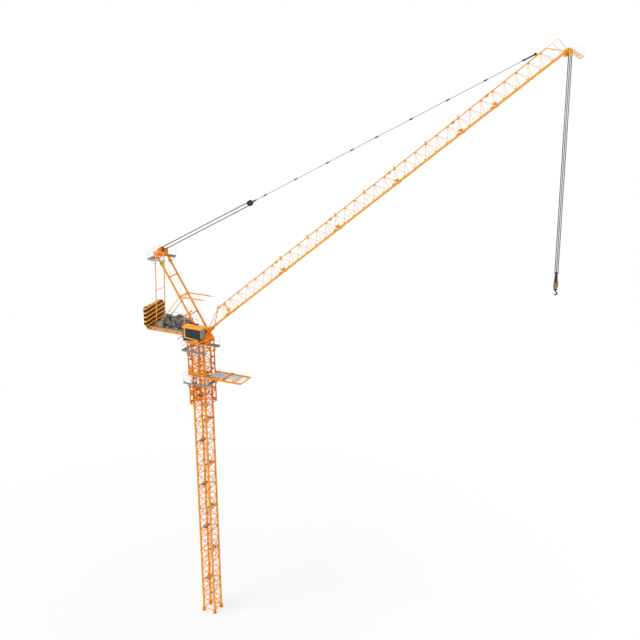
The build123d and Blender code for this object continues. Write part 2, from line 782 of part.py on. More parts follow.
# A-frame: two raked legs with cross bars, rear ties, braces, backstops and the head
leg_slope = (leg_top_x - leg_foot_x) / (head_beam_bottom - turntable_top)


def leg_x(z):
    return leg_foot_x + leg_slope * (z - turntable_top)


with BuildPart() as a_frame_legs:
    low, high = turntable_top - leg_bar, head_beam_bottom + leg_bar
    for y in (-leg_y, leg_y):
        square_bar((leg_x(low), y, low), (leg_x(high), y, high), leg_bar)
    split(bisect_by=Plane.XY.offset(turntable_top), keep=Keep.TOP)
    split(bisect_by=Plane.XY.offset(head_beam_bottom), keep=Keep.BOTTOM)
    for share in leg_cross_shares:
        z = turntable_top + share * frame_height
        square_bar((leg_x(z), -leg_y, z), (leg_x(z), leg_y, z), leg_bar * 0.7)
keep(a_frame_legs.part, "a_frame_legs")
with BuildPart() as a_frame_rear_ties:
    for y in (-leg_y, leg_y):
        run = (tie_top_x - tie_foot_x) / (head_beam_bottom - deck_top)
        square_bar((tie_foot_x - run * tie_bar, y, deck_top - tie_bar),
                   (tie_top_x + run * tie_bar, y, head_beam_bottom + tie_bar), tie_bar)
    split(bisect_by=Plane.XY.offset(deck_top), keep=Keep.TOP)
    split(bisect_by=Plane.XY.offset(head_beam_bottom), keep=Keep.BOTTOM)
keep(a_frame_rear_ties.part, "a_frame_rear_ties")
with BuildPart() as a_frame_braces:
    foot_x = tie_foot_x + 2 * tie_bar
    for y in (-leg_y, leg_y):
        run = (leg_x(brace_height) - foot_x) / (brace_height - deck_top)
        foot = (foot_x - run * brace_bar, y, deck_top - brace_bar)
        square_bar(foot, (leg_x(brace_height), y, brace_height), brace_bar)
    split(bisect_by=Plane.XY.offset(deck_top), keep=Keep.TOP)
    add(a_frame_legs.part, mode=Mode.SUBTRACT)
keep(a_frame_braces.part, "a_frame_braces")
with BuildPart() as jib_backstops:
    for y in (-leg_y, leg_y):
        square_bar((leg_x(brace_height), y, brace_height), (backstop_reach, y, brace_height), backstop_bar)
    add(a_frame_legs.part, mode=Mode.SUBTRACT)
    for y in (-leg_y, leg_y):
        round_bar((backstop_reach - backstop_bar, y, brace_height),
                  (backstop_reach + backstop_rod_length, y, brace_height), backstop_rod_radius)
keep(jib_backstops.part, "jib_backstops")

cheek_y = (cheek_spread - cheek_thickness) / 2
with BuildPart() as a_frame_head:
    with Locations(((head_beam_front + head_beam_rear) / 2, 0, head_beam_bottom)):
        Box(head_beam_front - head_beam_rear, frame_spread + leg_bar, head_beam_height,
            align=(Align.CENTER, Align.CENTER, Align.MIN))
    with Locations(((head_beam_front + head_beam_rear) / 2, 0, head_beam_top)):
        Box(head_beam_front - head_beam_rear, 2 * cheek_y - cheek_thickness, 2 * head_notch,
            mode=Mode.SUBTRACT)
    for y in (-cheek_y, cheek_y):
        with BuildSketch(Plane.XZ.offset(-y)):
            with BuildLine():
                Line((head_beam_rear + cheek_thickness, head_beam_top),
                     (head_beam_front - cheek_thickness, head_beam_top))
                CenterArc((head_sheave_x, head_sheave_z), cheek_top_radius, 0, 360)
            make_hull()
        extrude(amount=cheek_thickness / 2, both=True)
keep(a_frame_head.part, "a_frame_head")
with BuildPart() as head_sheaves:
    disc((head_sheave_x, 0, head_sheave_z), luff_sheave_radius / 3, 2 * cheek_y - cheek_thickness)
    for y in (-rope_spread, rope_spread):
        disc((head_sheave_x, y, head_sheave_z), luff_sheave_radius, sheave_thickness)
keep(head_sheaves.part, "head_sheaves")

head_platform_top = head_beam_bottom - head_platform_drop
side_depth = (head_platform_width - frame_spread - leg_bar) / 2
with BuildPart() as head_platform:
    with BuildSketch(Plane.XY.offset(head_platform_top - cage_platform_thickness)):
        plank = head_beam_rear - head_platform_rear
        flat_bar((head_platform_rear, 0), (head_beam_rear, 0), head_platform_width)
        for side in (-1, 1):
            y = side * (head_platform_width - side_depth) / 2
            flat_bar((head_beam_rear - plank / 2, y), (head_platform_front, y), side_depth)
    extrude(amount=cage_platform_thickness)
keep(head_platform.part, "head_platform")
head_rail_y = (head_platform_width - rail_bar) / 2
side_rail = head_platform_front - head_platform_rear - rail_bar - joint_gap
side_rail_x = head_platform_front - side_rail / 2
head_rails = [
    rail_run(side_rail, upright(side_rail_x, side * head_rail_y, head_platform_top, (1, 0, 0)))
    for side in (-1, 1)
]
rear_rail = upright(head_platform_rear + rail_bar / 2, 0, head_platform_top, (0, 1, 0))
head_rails.append(rail_run(head_platform_width, rear_rail))
keep(together(head_rails), "head_handrails")

# Luffing ropes from the head sheaves to the floating block, over and under both
rope_offset = luff_sheave_radius + rope_radius + rope_clearance
with BuildPart() as luffing_ropes:
    for y in (-rope_spread, rope_spread):
        for n in (-rope_offset, rope_offset):
            round_bar(line_plane.from_local_coords((0, y, n)),
                      line_plane.from_local_coords((block_along_line, y, n)), rope_radius)
keep(luffing_ropes.part, "luffing_ropes")

# Floating block and the pendant bars that run from it to the lug on the jib
line_place = Location(line_plane)
tail = block_along_line + block_tail
with BuildPart() as floating_block:
    for y in (-floating_block_spread / 2, floating_block_spread / 2):
        disc((block_along_line, y, 0), floating_block_radius, head_cheek_thickness)
    disc((block_along_line, 0, 0), luff_sheave_radius / 3, floating_block_spread)
    for y in (-rope_spread, rope_spread):
        disc((block_along_line, y, 0), luff_sheave_radius, sheave_thickness)
    square_bar((block_along_line, 0, 0), (tail, 0, 0), pendant_bar)
keep(floating_block.part.moved(line_place), "floating_block")
lug_face = line_length - pendant_lug[0] / 2
pendant_length = lug_face - tail
with BuildPart() as pendant_bars:
    square_bar((tail, 0, 0), (lug_face, 0, 0), pendant_bar)
    for share in pendant_shares:
        with Locations((tail + share * pendant_length, 0, 0)):
            Box(pendant_link_length, pendant_link_width, pendant_link)
keep(pendant_bars.part.moved(line_place), "pendant_bars")


# Jib
web_slope = hypot(foot_y, jib_depth)


def web_plane(side, start):
    return Plane(origin=(start, side * foot_y, 0), x_dir=(1, 0, 0), z_dir=(0, -jib_depth, -side * foot_y))


def jib_span(start, bays, top_end=None):
    """Chords, side webs and bottom lacing over whole bays, in the jib's own frame."""
    end = start + bays * jib_bay - joint_gap
    length = end - start
    with BuildPart() as span:
        for y in (-foot_y, foot_y):
            square_bar((start, y, 0), (end, y, 0), bottom_chord)
        square_bar((start, 0, jib_depth), (top_end or end, 0, jib_depth), top_chord)
        for side in (-1, 1):
            with BuildSketch(web_plane(side, start)):
                for k in range(bays):
                    flat_bar((k * jib_bay, 0), ((k + 0.5) * jib_bay, web_slope), jib_web)
                    flat_bar(((k + 0.5) * jib_bay, web_slope), ((k + 1) * jib_bay, 0), jib_web)
                with Locations((length / 2, web_slope / 2)):
                    Rectangle(length, web_slope, mode=Mode.INTERSECT)
            extrude(amount=jib_web / 2, both=True)
        with BuildSketch(Plane.XY.move(Location((start, 0, 0)))):
            for k in range(bays):
                side = 1 if k % 2 else -1
                flat_bar((k * jib_bay, side * foot_y), ((k + 1) * jib_bay, -side * foot_y), jib_web)
            for x in (jib_web / 2, length - jib_web / 2):
                flat_bar((x, -foot_y), (x, foot_y), jib_web)
            with Locations((length / 2, 0)):
                Rectangle(length, jib_width, mode=Mode.INTERSECT)
        extrude(amount=jib_web / 2, both=True)
    return span.part


with BuildPart() as jib_foot_section:
    add(jib_span(first_bottom_node, foot_bays))
    chord_start = pivot_radius + chord_clearance
    knuckle = (knuckle_along, 0, jib_depth)
    square_bar(knuckle, (first_bottom_node, 0, jib_depth), top_chord)
    with Locations(knuckle):
        Box(top_chord * 2, top_chord * 2, top_chord * 1.6)
    for side in (-1, 1):
        y = side * foot_y
        square_bar((chord_start, y, 0), (first_bottom_node, y, 0), bottom_chord)
        with BuildSketch(Plane.XZ.offset(-y)):
            with BuildLine():
                CenterArc((0, 0), pivot_radius - chord_clearance, 0, 360)
                Line((3 * pivot_radius, -bottom_chord / 2), (3 * pivot_radius, bottom_chord / 2))
            make_hull()
            Circle(pin_radius + pin_clearance, mode=Mode.SUBTRACT)
        extrude(amount=lug_thickness / 2, both=True)
        square_bar((knuckle_leg_foot, y, 0), knuckle, knuckle_leg)
        square_bar((first_top_node, 0, jib_depth), (first_bottom_node, y, 0), jib_web)
    square_bar((stop_bar_along, -stop_bar_length / 2, 0), (stop_bar_along, stop_bar_length / 2, 0), stop_bar)
    square_bar((stop_bar_along, 0, 0), (stop_bar_along, 0, jib_depth), bottom_chord)
keep(jib_foot_section.part.moved(jib_place), "jib_foot_section")

whole_span = jib_span(0, section_bays)
for k in range(section_count):
    place = jib_place * Location((section_start + k * section_length, 0, 0))
    keep(whole_span.moved(place), f"jib_section_{k + 1}")
short_span = jib_span(0, short_bays)
keep(short_span.moved(jib_place * Location((short_start, 0, 0))), f"jib_section_{section_count + 1}")

# Jib head: the last span, the lug for the pendants, and cheeks for the hoist sheaves
cheek_side = (head_cheek_gap + head_cheek_thickness) / 2
last_node = head_start + (head_bays - 1) * jib_bay
with BuildPart() as jib_head_section:
    add(jib_span(head_start, head_bays - 1, top_end=last_node + top_chord))
    for y in (-foot_y, foot_y):
        square_bar((last_node - jib_web, y, 0), (chord_end, y, 0), bottom_chord)
        square_bar((last_node, 0, jib_depth), (chord_end - bottom_chord, y, 0), jib_web * 1.6)
    end_bar = chord_end - bottom_chord / 2
    square_bar((end_bar, -foot_y, 0), (end_bar, foot_y, 0), bottom_chord)
    for y in (-cheek_side, cheek_side):
        with BuildSketch(Plane.XZ.offset(-y)):
            with BuildLine():
                CenterArc((head_sheave_along, -head_sheave_drop), head_sheave_radius + 40, 0, 360)
                back = chord_end - 2 * bottom_chord
                Line((back, -bottom_chord / 2), (back, bottom_chord))
            make_hull()
        extrude(amount=head_cheek_thickness / 2, both=True)
    lug_middle = jib_plane.to_local_coords(line_plane.from_local_coords((line_length, 0, 0)))
    turn = degrees(atan2(line_direction.Z, line_direction.X)) - luff_angle
    with Locations(Location(lug_middle, (0, -turn, 0))):
        Box(*pendant_lug)
keep(jib_head_section.part.moved(jib_place), "jib_head_section")
with BuildPart() as jib_head_sheaves:
    disc((head_sheave_along, 0, -head_sheave_drop), head_sheave_radius / 3, head_cheek_gap)
    for y in (-hoist_spread / 2, hoist_spread / 2):
        disc((head_sheave_along, y, -head_sheave_drop), head_sheave_radius, sheave_thickness)
keep(jib_head_sheaves.part.moved(jib_place), "jib_head_sheaves")

# Tip platform, held forward of the sheaves by two brackets on the head's cheeks
platform_start = (head_sheave_along + tip_platform_ahead, 0, tip_platform_rise)
tip_turn = Location(platform_start, (0, tip_platform_tilt, 0))
tip_place = jib_place * tip_turn
with BuildPart() as tip_platform:
    with Locations((tip_platform_length / 2, 0, 0)):
        Box(tip_platform_length, tip_platform_width, tip_platform_thickness)
    for y in (-cheek_side, cheek_side):
        with Locations((tip_bracket_along, y, 0)):
            Box(tip_bracket, head_cheek_thickness, tip_bracket_reach, align=hung)
    add(jib_head_section.part.moved(tip_turn.inverse()), mode=Mode.SUBTRACT)
keep(tip_platform.part.moved(tip_place), "tip_platform")

# Hoist ropes, hanging plumb from the head sheaves, and the hook block with its hook
fall_offset = head_sheave_radius + rope_radius + rope_clearance
tip_x, tip_z = sheave_point.X, sheave_point.Z
block_top = tip_z - block_drop
with BuildPart() as hoist_ropes:
    for x in (-fall_offset, fall_offset):
        for y in (-hoist_spread / 2, hoist_spread / 2):
            round_bar((tip_x + x, y, block_top), (tip_x + x, y, tip_z), rope_radius)
keep(hoist_ropes.part, "hoist_ropes")
block_bottom = block_top - block_height
with BuildPart() as hook_block:
    with BuildSketch(Plane.XZ) as cheek:
        with Locations((tip_x, block_top - block_height / 2)):
            Rectangle(block_depth, block_height)
        chamfer(cheek.vertices().group_by(Axis.Y)[-1], block_depth * 0.3)
        chamfer(cheek.vertices().group_by(Axis.Y)[0], block_depth * 0.34)
    extrude(amount=block_width / 2, both=True)
    with Locations((tip_x, 0, block_bottom)):
        Cylinder(shank_radius + pin_clearance, shank_length + pin_clearance,
                 align=(Align.CENTER, Align.CENTER, Align.MIN), mode=Mode.SUBTRACT)
keep(hook_block.part, "hook_block")
hook_top = block_bottom - lug_gap
bowl_z = hook_top - hook_height + hook_bowl + hook_bar / 2
with BuildPart() as hook:
    with BuildSketch(Plane.XZ):
        with Locations((tip_x, (hook_top + bowl_z + hook_bowl) / 2)):
            Rectangle(hook_neck, hook_top - bowl_z - hook_bowl)
        with BuildLine():
            CenterArc((tip_x, bowl_z), hook_bowl, 90, -hook_sweep)
        trace(line_width=hook_bar)
    extrude(amount=hook_bar / 2, both=True)
    with Locations((tip_x, 0, hook_top)):
        Cylinder(shank_radius, shank_length + lug_gap, align=(Align.CENTER, Align.CENTER, Align.MIN))
keep(hook.part, "hook")

print("\n".join(written))
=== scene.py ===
import bpy
import bmesh
import json
from math import atan2, cos, pi, radians, sin, tau
from mathutils import Matrix, Vector


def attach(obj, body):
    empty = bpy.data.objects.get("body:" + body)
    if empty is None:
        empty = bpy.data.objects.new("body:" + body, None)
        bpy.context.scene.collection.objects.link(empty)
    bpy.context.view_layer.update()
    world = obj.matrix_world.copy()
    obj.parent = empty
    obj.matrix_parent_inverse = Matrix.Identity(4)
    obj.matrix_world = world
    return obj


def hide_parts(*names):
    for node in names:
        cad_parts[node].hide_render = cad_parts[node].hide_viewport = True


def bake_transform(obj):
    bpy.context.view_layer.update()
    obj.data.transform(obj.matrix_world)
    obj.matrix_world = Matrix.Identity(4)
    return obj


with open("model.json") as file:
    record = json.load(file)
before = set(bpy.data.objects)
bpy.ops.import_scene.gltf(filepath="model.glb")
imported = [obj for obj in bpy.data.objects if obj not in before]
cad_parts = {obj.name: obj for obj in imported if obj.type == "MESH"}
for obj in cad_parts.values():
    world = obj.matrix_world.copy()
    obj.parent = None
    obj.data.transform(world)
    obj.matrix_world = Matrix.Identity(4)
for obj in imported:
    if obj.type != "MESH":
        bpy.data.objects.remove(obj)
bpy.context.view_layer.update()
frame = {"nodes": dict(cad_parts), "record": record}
nodes = frame["nodes"]
mastCentre = Vector((0.405, 0.405, 0))  # the slewing axis, where the sizes below start from
jibFoot = Vector((0.672, 0, 19.421))
jibAngle = radians(39.76)
headSheave = Vector((-2.49, 0, 23.95))
pendantLug = Vector((19.5246, 0, 36.1312))
upright = Vector((0, 0, 1))
print("frame loaded:", len(nodes), "nodes")


# places: about the slewing axis, turned about it, along the jib, and along the luffing line
def at(x, y, z):
    return mastCentre + Vector((x, y, z))


def lift(height):
    return Vector((0, 0, height))


def turned(turn, x, y, z):
    return mastCentre + turn @ Vector((x, y, z))


def stepTurn(k, count, axis):
    return Matrix.Rotation(tau * k / count, 4, axis)


def onJib(s, y, n):
    along = Vector((cos(jibAngle), 0, sin(jibAngle)))
    up = Vector((-sin(jibAngle), 0, cos(jibAngle)))
    return mastCentre + jibFoot + along * s + up * n + Vector((0, y, 0))


def onLine(s, y, n):
    along = (pendantLug - headSheave).normalized()
    up = Vector((-along.z, 0, along.x))
    return mastCentre + headSheave + along * s + up * n + Vector((0, y, 0))


# bars, tubes and plates, each added to a bmesh in place
def placed(start, end, width, height, side):
    along = (end - start).normalized()
    across = side - along * side.dot(along)
    if across.length < 1e-4:
        across = along.orthogonal()
    across.normalize()
    up = along.cross(across)
    turn = Matrix((along, across, up)).transposed().to_4x4()
    size = Matrix.Diagonal(((end - start).length, width, height, 1))
    return Matrix.Translation((start + end) / 2) @ turn @ size


def addBar(bm, start, end, width, height=None, side=Vector((0, 1, 0))):
    place = placed(start, end, width, height or width, side)
    return bmesh.ops.create_cube(bm, size=1, matrix=place)["verts"]


def addBlock(bm, centre, sizes, turn=Matrix.Identity(4)):
    spread = Matrix.Translation(centre) @ turn @ Matrix.Diagonal((*sizes, 1))
    return bmesh.ops.create_cube(bm, size=1, matrix=spread)["verts"]


def addTube(bm, start, end, radius, sides=8, farRadius=None):
    along = end - start
    place = Matrix.Translation((start + end) / 2) @ along.to_track_quat("Z", "Y").to_matrix().to_4x4()
    made = bmesh.ops.create_cone(bm, cap_ends=True, segments=sides, radius1=radius,
                                 radius2=radius if farRadius is None else farRadius,
                                 depth=along.length, matrix=place)
    return made["verts"]


def addBolts(bm, centre, count, ring, size, out):
    for k in range(count):
        spot = centre + stepTurn(k, count, "Y") @ Vector((ring, 0, 0))
        addTube(bm, spot, spot + Vector((0, out, 0)), size, 6)


def edgesOf(verts):
    return list({e for v in verts for e in v.link_edges})


def softenEdges(bm, width, sharpest=0.6):
    edges = [e for e in bm.edges if len(e.link_faces) == 2 and e.calc_face_angle(0) > sharpest]
    bmesh.ops.bevel(bm, geom=edges, offset=width, affect="EDGES", segments=2, profile=0.5, material=-1)


def finishPiece(bm, name, body, slotName, look=None, smooth=False):
    bmesh.ops.recalc_face_normals(bm, faces=bm.faces)
    mesh = bpy.data.meshes.new(name)
    bm.to_mesh(mesh)
    bm.free()
    for face in mesh.polygons:
        face.use_smooth = smooth
    mesh.materials.append(looks[look or slotName])
    piece = bpy.data.objects.new(name, mesh)
    bpy.context.scene.collection.objects.link(piece)
    if body:
        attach(piece, body)
    return piece


# finishes
def startFinish(name):
    look = bpy.data.materials.new(name)
    look.use_nodes = True
    tree = look.node_tree
    coords = tree.nodes.new("ShaderNodeTexCoord")
    return look, tree, tree.nodes["Principled BSDF"], coords.outputs["Object"]


def addNoise(tree, where, scale, detail=4.0, rough=0.55):
    noise = tree.nodes.new("ShaderNodeTexNoise")
    noise.inputs["Scale"].default_value = scale
    noise.inputs["Detail"].default_value = detail
    noise.inputs["Roughness"].default_value = rough
    tree.links.new(where, noise.inputs["Vector"])
    return noise.outputs["Fac"]


def mixTones(tree, share, toneA, toneB):
    mix = tree.nodes.new("ShaderNodeMix")
    mix.data_type = "RGBA"
    tree.links.new(share, mix.inputs[0])
    for socket, tone in ((mix.inputs[6], toneA), (mix.inputs[7], toneB)):
        if isinstance(tone, tuple):
            socket.default_value = (*tone, 1)
        else:
            tree.links.new(tone, socket)
    return mix.outputs[2]


def spreadValue(tree, value, low, high, toLow, toHigh):
    span = tree.nodes.new("ShaderNodeMapRange")
    tree.links.new(value, span.inputs["Value"])
    for socket, number in zip(("From Min", "From Max", "To Min", "To Max"), (low, high, toLow, toHigh)):
        span.inputs[socket].default_value = number
    return span.outputs["Result"]


def addMath(tree, operation, *values):
    node = tree.nodes.new("ShaderNodeMath")
    node.operation = operation
    for socket, value in zip(node.inputs, values):
        if isinstance(value, (int, float)):
            socket.default_value = value
        else:
            tree.links.new(value, socket)
    return node.outputs[0]


def feed(shader, socket, value):
    shader.id_data.links.new(value, shader.inputs[socket])


def even(value):
    return (value, value, value)


def addBump(tree, shader, height, distance, strength=1.0):
    bump = tree.nodes.new("ShaderNodeBump")
    bump.inputs["Distance"].default_value = distance
    bump.inputs["Strength"].default_value = strength
    tree.links.new(height, bump.inputs["Height"])
    feed(shader, "Normal", bump.outputs["Normal"])


# sprayed steel: two close tones, grime in broad patches, small chips down to primer, orange peel
def sprayedSteel(name, tone, shade, chip, gloss=0.42, chips=0.8):
    look, tree, shader, where = startFinish(name)
    shader.inputs["Specular IOR Level"].default_value = 0.22
    broad = spreadValue(tree, addNoise(tree, where, 1.7), 0.35, 0.7, 0, 1)
    body = mixTones(tree, broad, tone, shade)
    flecks = spreadValue(tree, addNoise(tree, where, 34, 6, 0.7), chips, chips + 0.03, 0, 1)
    feed(shader, "Base Color", mixTones(tree, flecks, body, chip))
    fine = addNoise(tree, where, 9)
    feed(shader, "Roughness", spreadValue(tree, fine, 0.3, 0.7, gloss - 0.07, gloss + 0.12))
    addBump(tree, shader, addNoise(tree, where, 160, 2), 0.0012, 0.5)
    return look


# bare or plated metal: mottled tone and roughness, with a fine brushed grain
def plainMetal(name, tone, shade, rough, metallic, grain=even(30)):
    look, tree, shader, where = startFinish(name)
    shader.inputs["Metallic"].default_value = metallic
    stretch = tree.nodes.new("ShaderNodeMapping")
    stretch.inputs["Scale"].default_value = grain
    tree.links.new(where, stretch.inputs["Vector"])
    mottle = addNoise(tree, stretch.outputs["Vector"], 1, 5, 0.6)
    feed(shader, "Base Color", mixTones(tree, spreadValue(tree, mottle, 0.3, 0.7, 0, 1), tone, shade))
    feed(shader, "Roughness", spreadValue(tree, mottle, 0.3, 0.7, rough - 0.08, rough + 0.12))
    addBump(tree, shader, mottle, 0.002, 0.4)
    return look


# walkway plate: staggered raised tread bars on galvanised steel, with painted shade in the thin grooves
# between the bars
def treadPlate(name, tone, shade):
    look, tree, shader, where = startFinish(name)
    slanted = tree.nodes.new("ShaderNodeMapping")
    slanted.inputs["Rotation"].default_value = (0, 0, radians(45))
    slanted.inputs["Scale"].default_value = even(26)
    tree.links.new(where, slanted.inputs["Vector"])
    check = tree.nodes.new("ShaderNodeTexBrick")
    check.inputs["Scale"].default_value = 1.0
    check.inputs["Mortar Size"].default_value = 0.03
    check.inputs["Color1"].default_value = (1, 1, 1, 1)
    check.inputs["Color2"].default_value = (0.8, 0.8, 0.8, 1)
    check.inputs["Mortar"].default_value = (0, 0, 0, 1)
    tree.links.new(slanted.outputs["Vector"], check.inputs["Vector"])
    dust = spreadValue(tree, addNoise(tree, where, 4), 0.35, 0.7, 0, 1)
    ground = mixTones(tree, dust, tone, shade)
    # painted shade: the grooves between the raised bars get a darker copy of the shade tone
    dark = tuple(part * 0.55 for part in shade)
    feed(shader, "Base Color", mixTones(tree, check.outputs["Fac"], ground, dark))
    shader.inputs["Metallic"].default_value = 0.35
    feed(shader, "Roughness", spreadValue(tree, dust, 0, 1, 0.42, 0.66))
    addBump(tree, shader, check.outputs["Color"], 0.004, 0.6)
    return look


# counterweight paint: slightly sloping warning bands, worn where they meet, on a rough casting
def warningBands(name, tone, dark, pitch, start, tilt):
    look, tree, shader, where = startFinish(name)
    level = tree.nodes.new("ShaderNodeVectorMath")  # height, with the bands' slight tilt across the slab
    level.operation = "DOT_PRODUCT"
    level.inputs[1].default_value = (0, tilt, 1)
    tree.links.new(where, level.inputs[0])
    wobble = spreadValue(tree, addNoise(tree, where, 14, 6, 0.7), 0, 1, -0.006, 0.006)
    rise = addMath(tree, "ADD", level.outputs["Value"], wobble)
    turns = spreadValue(tree, rise, start, start + pitch, 0, 1)
    turns.node.clamp = False
    band = addMath(tree, "GREATER_THAN", addMath(tree, "FRACT", turns), 0.5)
    grime = spreadValue(tree, addNoise(tree, where, 3), 0.4, 0.75, 0, 1)
    bright = mixTones(tree, grime, tone, tuple(c * 0.82 for c in tone))
    deep = mixTones(tree, grime, dark, tuple(c * 2.2 for c in dark))
    feed(shader, "Base Color", mixTones(tree, band, bright, deep))
    feed(shader, "Roughness", spreadValue(tree, addNoise(tree, where, 20), 0.3, 0.7, 0.45, 0.7))
    shader.inputs["Specular IOR Level"].default_value = 0.15
    addBump(tree, shader, addNoise(tree, where, 90, 3), 0.003, 0.5)
    return look


# laid wire rope: strands slanting round the rope, from the tube's own UV map, with painted shade in the
# grooves between strands
def laidRope(name, tone, grooveShade, lay=0.09):
    look, tree, shader, where = startFinish(name)
    uv = where.node.outputs["UV"]
    split = tree.nodes.new("ShaderNodeSeparateXYZ")
    tree.links.new(uv, split.inputs[0])
    # lays along the rope, plus turns round it
    turns = addMath(tree, "MULTIPLY_ADD", split.outputs["X"], 1 / lay, split.outputs["Y"])
    strand = addMath(tree, "SINE", addMath(tree, "MULTIPLY", turns, 6 * tau))
    height = spreadValue(tree, strand, -1, 1, 0, 1)
    # painted shade: the groove tone darkens the low parts between the strands
    feed(shader, "Base Color", mixTones(tree, height, grooveShade, tone))
    shader.inputs["Metallic"].default_value = 0.5
    feed(shader, "Roughness", spreadValue(tree, addNoise(tree, where, 20), 0.3, 0.7, 0.38, 0.6))
    addBump(tree, shader, height, 0.002, 0.7)
    return look


# tinted cab glass with a faint dusty film
def tintedGlass(name, tint, clear):
    look, tree, shader, where = startFinish(name)
    film = spreadValue(tree, addNoise(tree, where, 2.5), 0.35, 0.75, 0, 1)
    feed(shader, "Base Color", mixTones(tree, film, tint, tuple(c * 1.3 for c in tint)))
    feed(shader, "Roughness", spreadValue(tree, film, 0, 1, 0.06, 0.14))
    shader.inputs["Transmission Weight"].default_value = clear
    shader.inputs["IOR"].default_value = 1.45
    return look


craneOrange = (0.91, 0.365, 0.009)
deepOrange = (0.87, 0.30, 0.006)
primer = (0.45, 0.15, 0.03)
looks = {
    "tower_paint": sprayedSteel("towerOrange", craneOrange, deepOrange, primer),
    "jib_paint": sprayedSteel("jibOrange", (0.92, 0.43, 0.025), (0.90, 0.375, 0.016), primer),
    "pale_paint": sprayedSteel("paleOrange", (0.91, 0.44, 0.06), (0.88, 0.38, 0.045), primer),
    "galvanised": treadPlate("walkwayZinc", (0.50, 0.48, 0.455), (0.40, 0.38, 0.36)),
    "machine_grey": sprayedSteel("machineGrey", (0.29, 0.27, 0.25), (0.18, 0.17, 0.16), even(0.4), 0.5),
    "cab_paint": sprayedSteel("cabOrange", (0.97, 0.42, 0.055), (0.95, 0.37, 0.04), primer, 0.34, 0.84),
    "glass": tintedGlass("cabTint", (0.018, 0.019, 0.021), 0.12),
    "slab_paint": warningBands("slabBands", (0.98, 0.41, 0.05), (0.01, 0.007, 0.005), 0.268, 20.164, -0.073),
    "hydraulic_red": sprayedSteel("hydraulicRed", (0.72, 0.085, 0.008), (0.58, 0.06, 0.006),
                                  (0.2, 0.05, 0.03)),
    "wire_rope": laidRope("laidWire", even(0.20), even(0.08)),
    "pendant_steel": plainMetal("pendantSteel", even(0.44), even(0.34), 0.45, 0.5, (8, 60, 60)),
    "block_paint": sprayedSteel("blockBronze", (0.42, 0.26, 0.14), (0.32, 0.19, 0.10), (0.08, 0.06, 0.05)),
    "hook_steel": plainMetal("forgedBlack", (0.03, 0.028, 0.026), (0.055, 0.05, 0.046), 0.48, 0.6, even(26)),
    "pin_steel": plainMetal("pinSteel", (0.45, 0.44, 0.43), (0.32, 0.31, 0.30), 0.34, 0.9, even(60)),
    "rail_paint": sprayedSteel("railGrey", (0.86, 0.85, 0.84), (0.78, 0.77, 0.76),
                               (0.5, 0.48, 0.46), 0.45, 0.86),
    "white_paint": sprayedSteel("boardWhite", even(0.96), even(0.90), even(0.6)),
    "cab_yellow": sprayedSteel("trimYellow", (0.76, 0.43, 0.10), (0.70, 0.38, 0.08), primer, 0.36, 0.84),
    "black_rubber": plainMetal("blackFittings", (0.022, 0.021, 0.02), (0.04, 0.038, 0.036),
                               0.55, 0.1, even(50)),
    "greased_rope": plainMetal("greasedRope", (0.16, 0.155, 0.15), (0.09, 0.087, 0.083),
                               0.45, 0.6, (40, 200, 40)),
    "rest_brown": treadPlate("restBrown", (0.36, 0.235, 0.17), (0.27, 0.17, 0.12)),
    "pale_zinc": treadPlate("gratingZinc", (0.82, 0.815, 0.81), (0.72, 0.715, 0.71)),
    "light_grey": sprayedSteel("boxGrey", (0.36, 0.33, 0.33), (0.28, 0.26, 0.26), even(0.5)),
    "cage_orange": sprayedSteel("cageOrange", (0.87, 0.275, 0.006), (0.80, 0.215, 0.004), primer),
    "rich_orange": sprayedSteel("richOrange", (0.98, 0.295, 0.007), (0.94, 0.245, 0.005), primer),
    # painted reflection: the front screen's glass gets a light brown tint, far lighter than the side glass
    "front_glass_painted_reflection": tintedGlass("screenPaintedReflection", (0.28, 0.205, 0.14), 0.12),
}
slotOf = {part["node"]: part["material_slot"] for part in frame["record"]["subparts"]}
cageNodes = ("mast_ladders", "climbing_cylinder", "climbing_cage_sides", "climbing_cage_lacing")
richNodes = ("turntable", "slewing_ring", "a_frame_head", "cab_platform")
tints = {"floating_block": "black_rubber", "jib_backstops": "pale_paint"}
tints.update({name: "cage_orange" for name in cageNodes})
tints.update({name: "rich_orange" for name in richNodes})
for name, node in nodes.items():
    node.data.materials.clear()
    node.data.materials.append(looks[tints.get(name, slotOf[name])])
print("finishes laid on", len(nodes), "nodes")

# ropes
ropeSizes = {"luff": 0.026, "hoist": 0.017, "sides": 8, "luffFalls": 7.04, "luffSpread": 0.05,
             "luffOffset": 0.092, "hoistSpread": 0.025, "hoistOffset": 0.0783, "hoistLength": 10.8}


def addRope(bm, start, end, radius, sides):
    rings = addTube(bm, start, end, radius, sides)
    along = (end - start).normalized()
    side = along.orthogonal().normalized()
    up = along.cross(side)
    uvs = bm.loops.layers.uv.verify()
    for face in {f for v in rings for f in v.link_faces}:
        middle = face.calc_center_median() - start
        base = atan2(middle.dot(up), middle.dot(side))
        for loop in face.loops:
            arm = loop.vert.co - start
            angle = atan2(arm.dot(up), arm.dot(side))
            angle += round((base - angle) / tau) * tau
            loop[uvs].uv = (arm.dot(along), angle / tau)


luffBm = bmesh.new()
luffEnd = ropeSizes["luffFalls"]
for y in (-ropeSizes["luffSpread"], ropeSizes["luffSpread"]):
    for n in (-ropeSizes["luffOffset"], ropeSizes["luffOffset"]):
        addRope(luffBm, onLine(0, y, n), onLine(luffEnd, y, n), ropeSizes["luff"], ropeSizes["sides"])
luffRopes = finishPiece(luffBm, "luffing_rope_falls", None, "wire_rope", smooth=True)
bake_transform(luffRopes)
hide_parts("luffing_ropes")

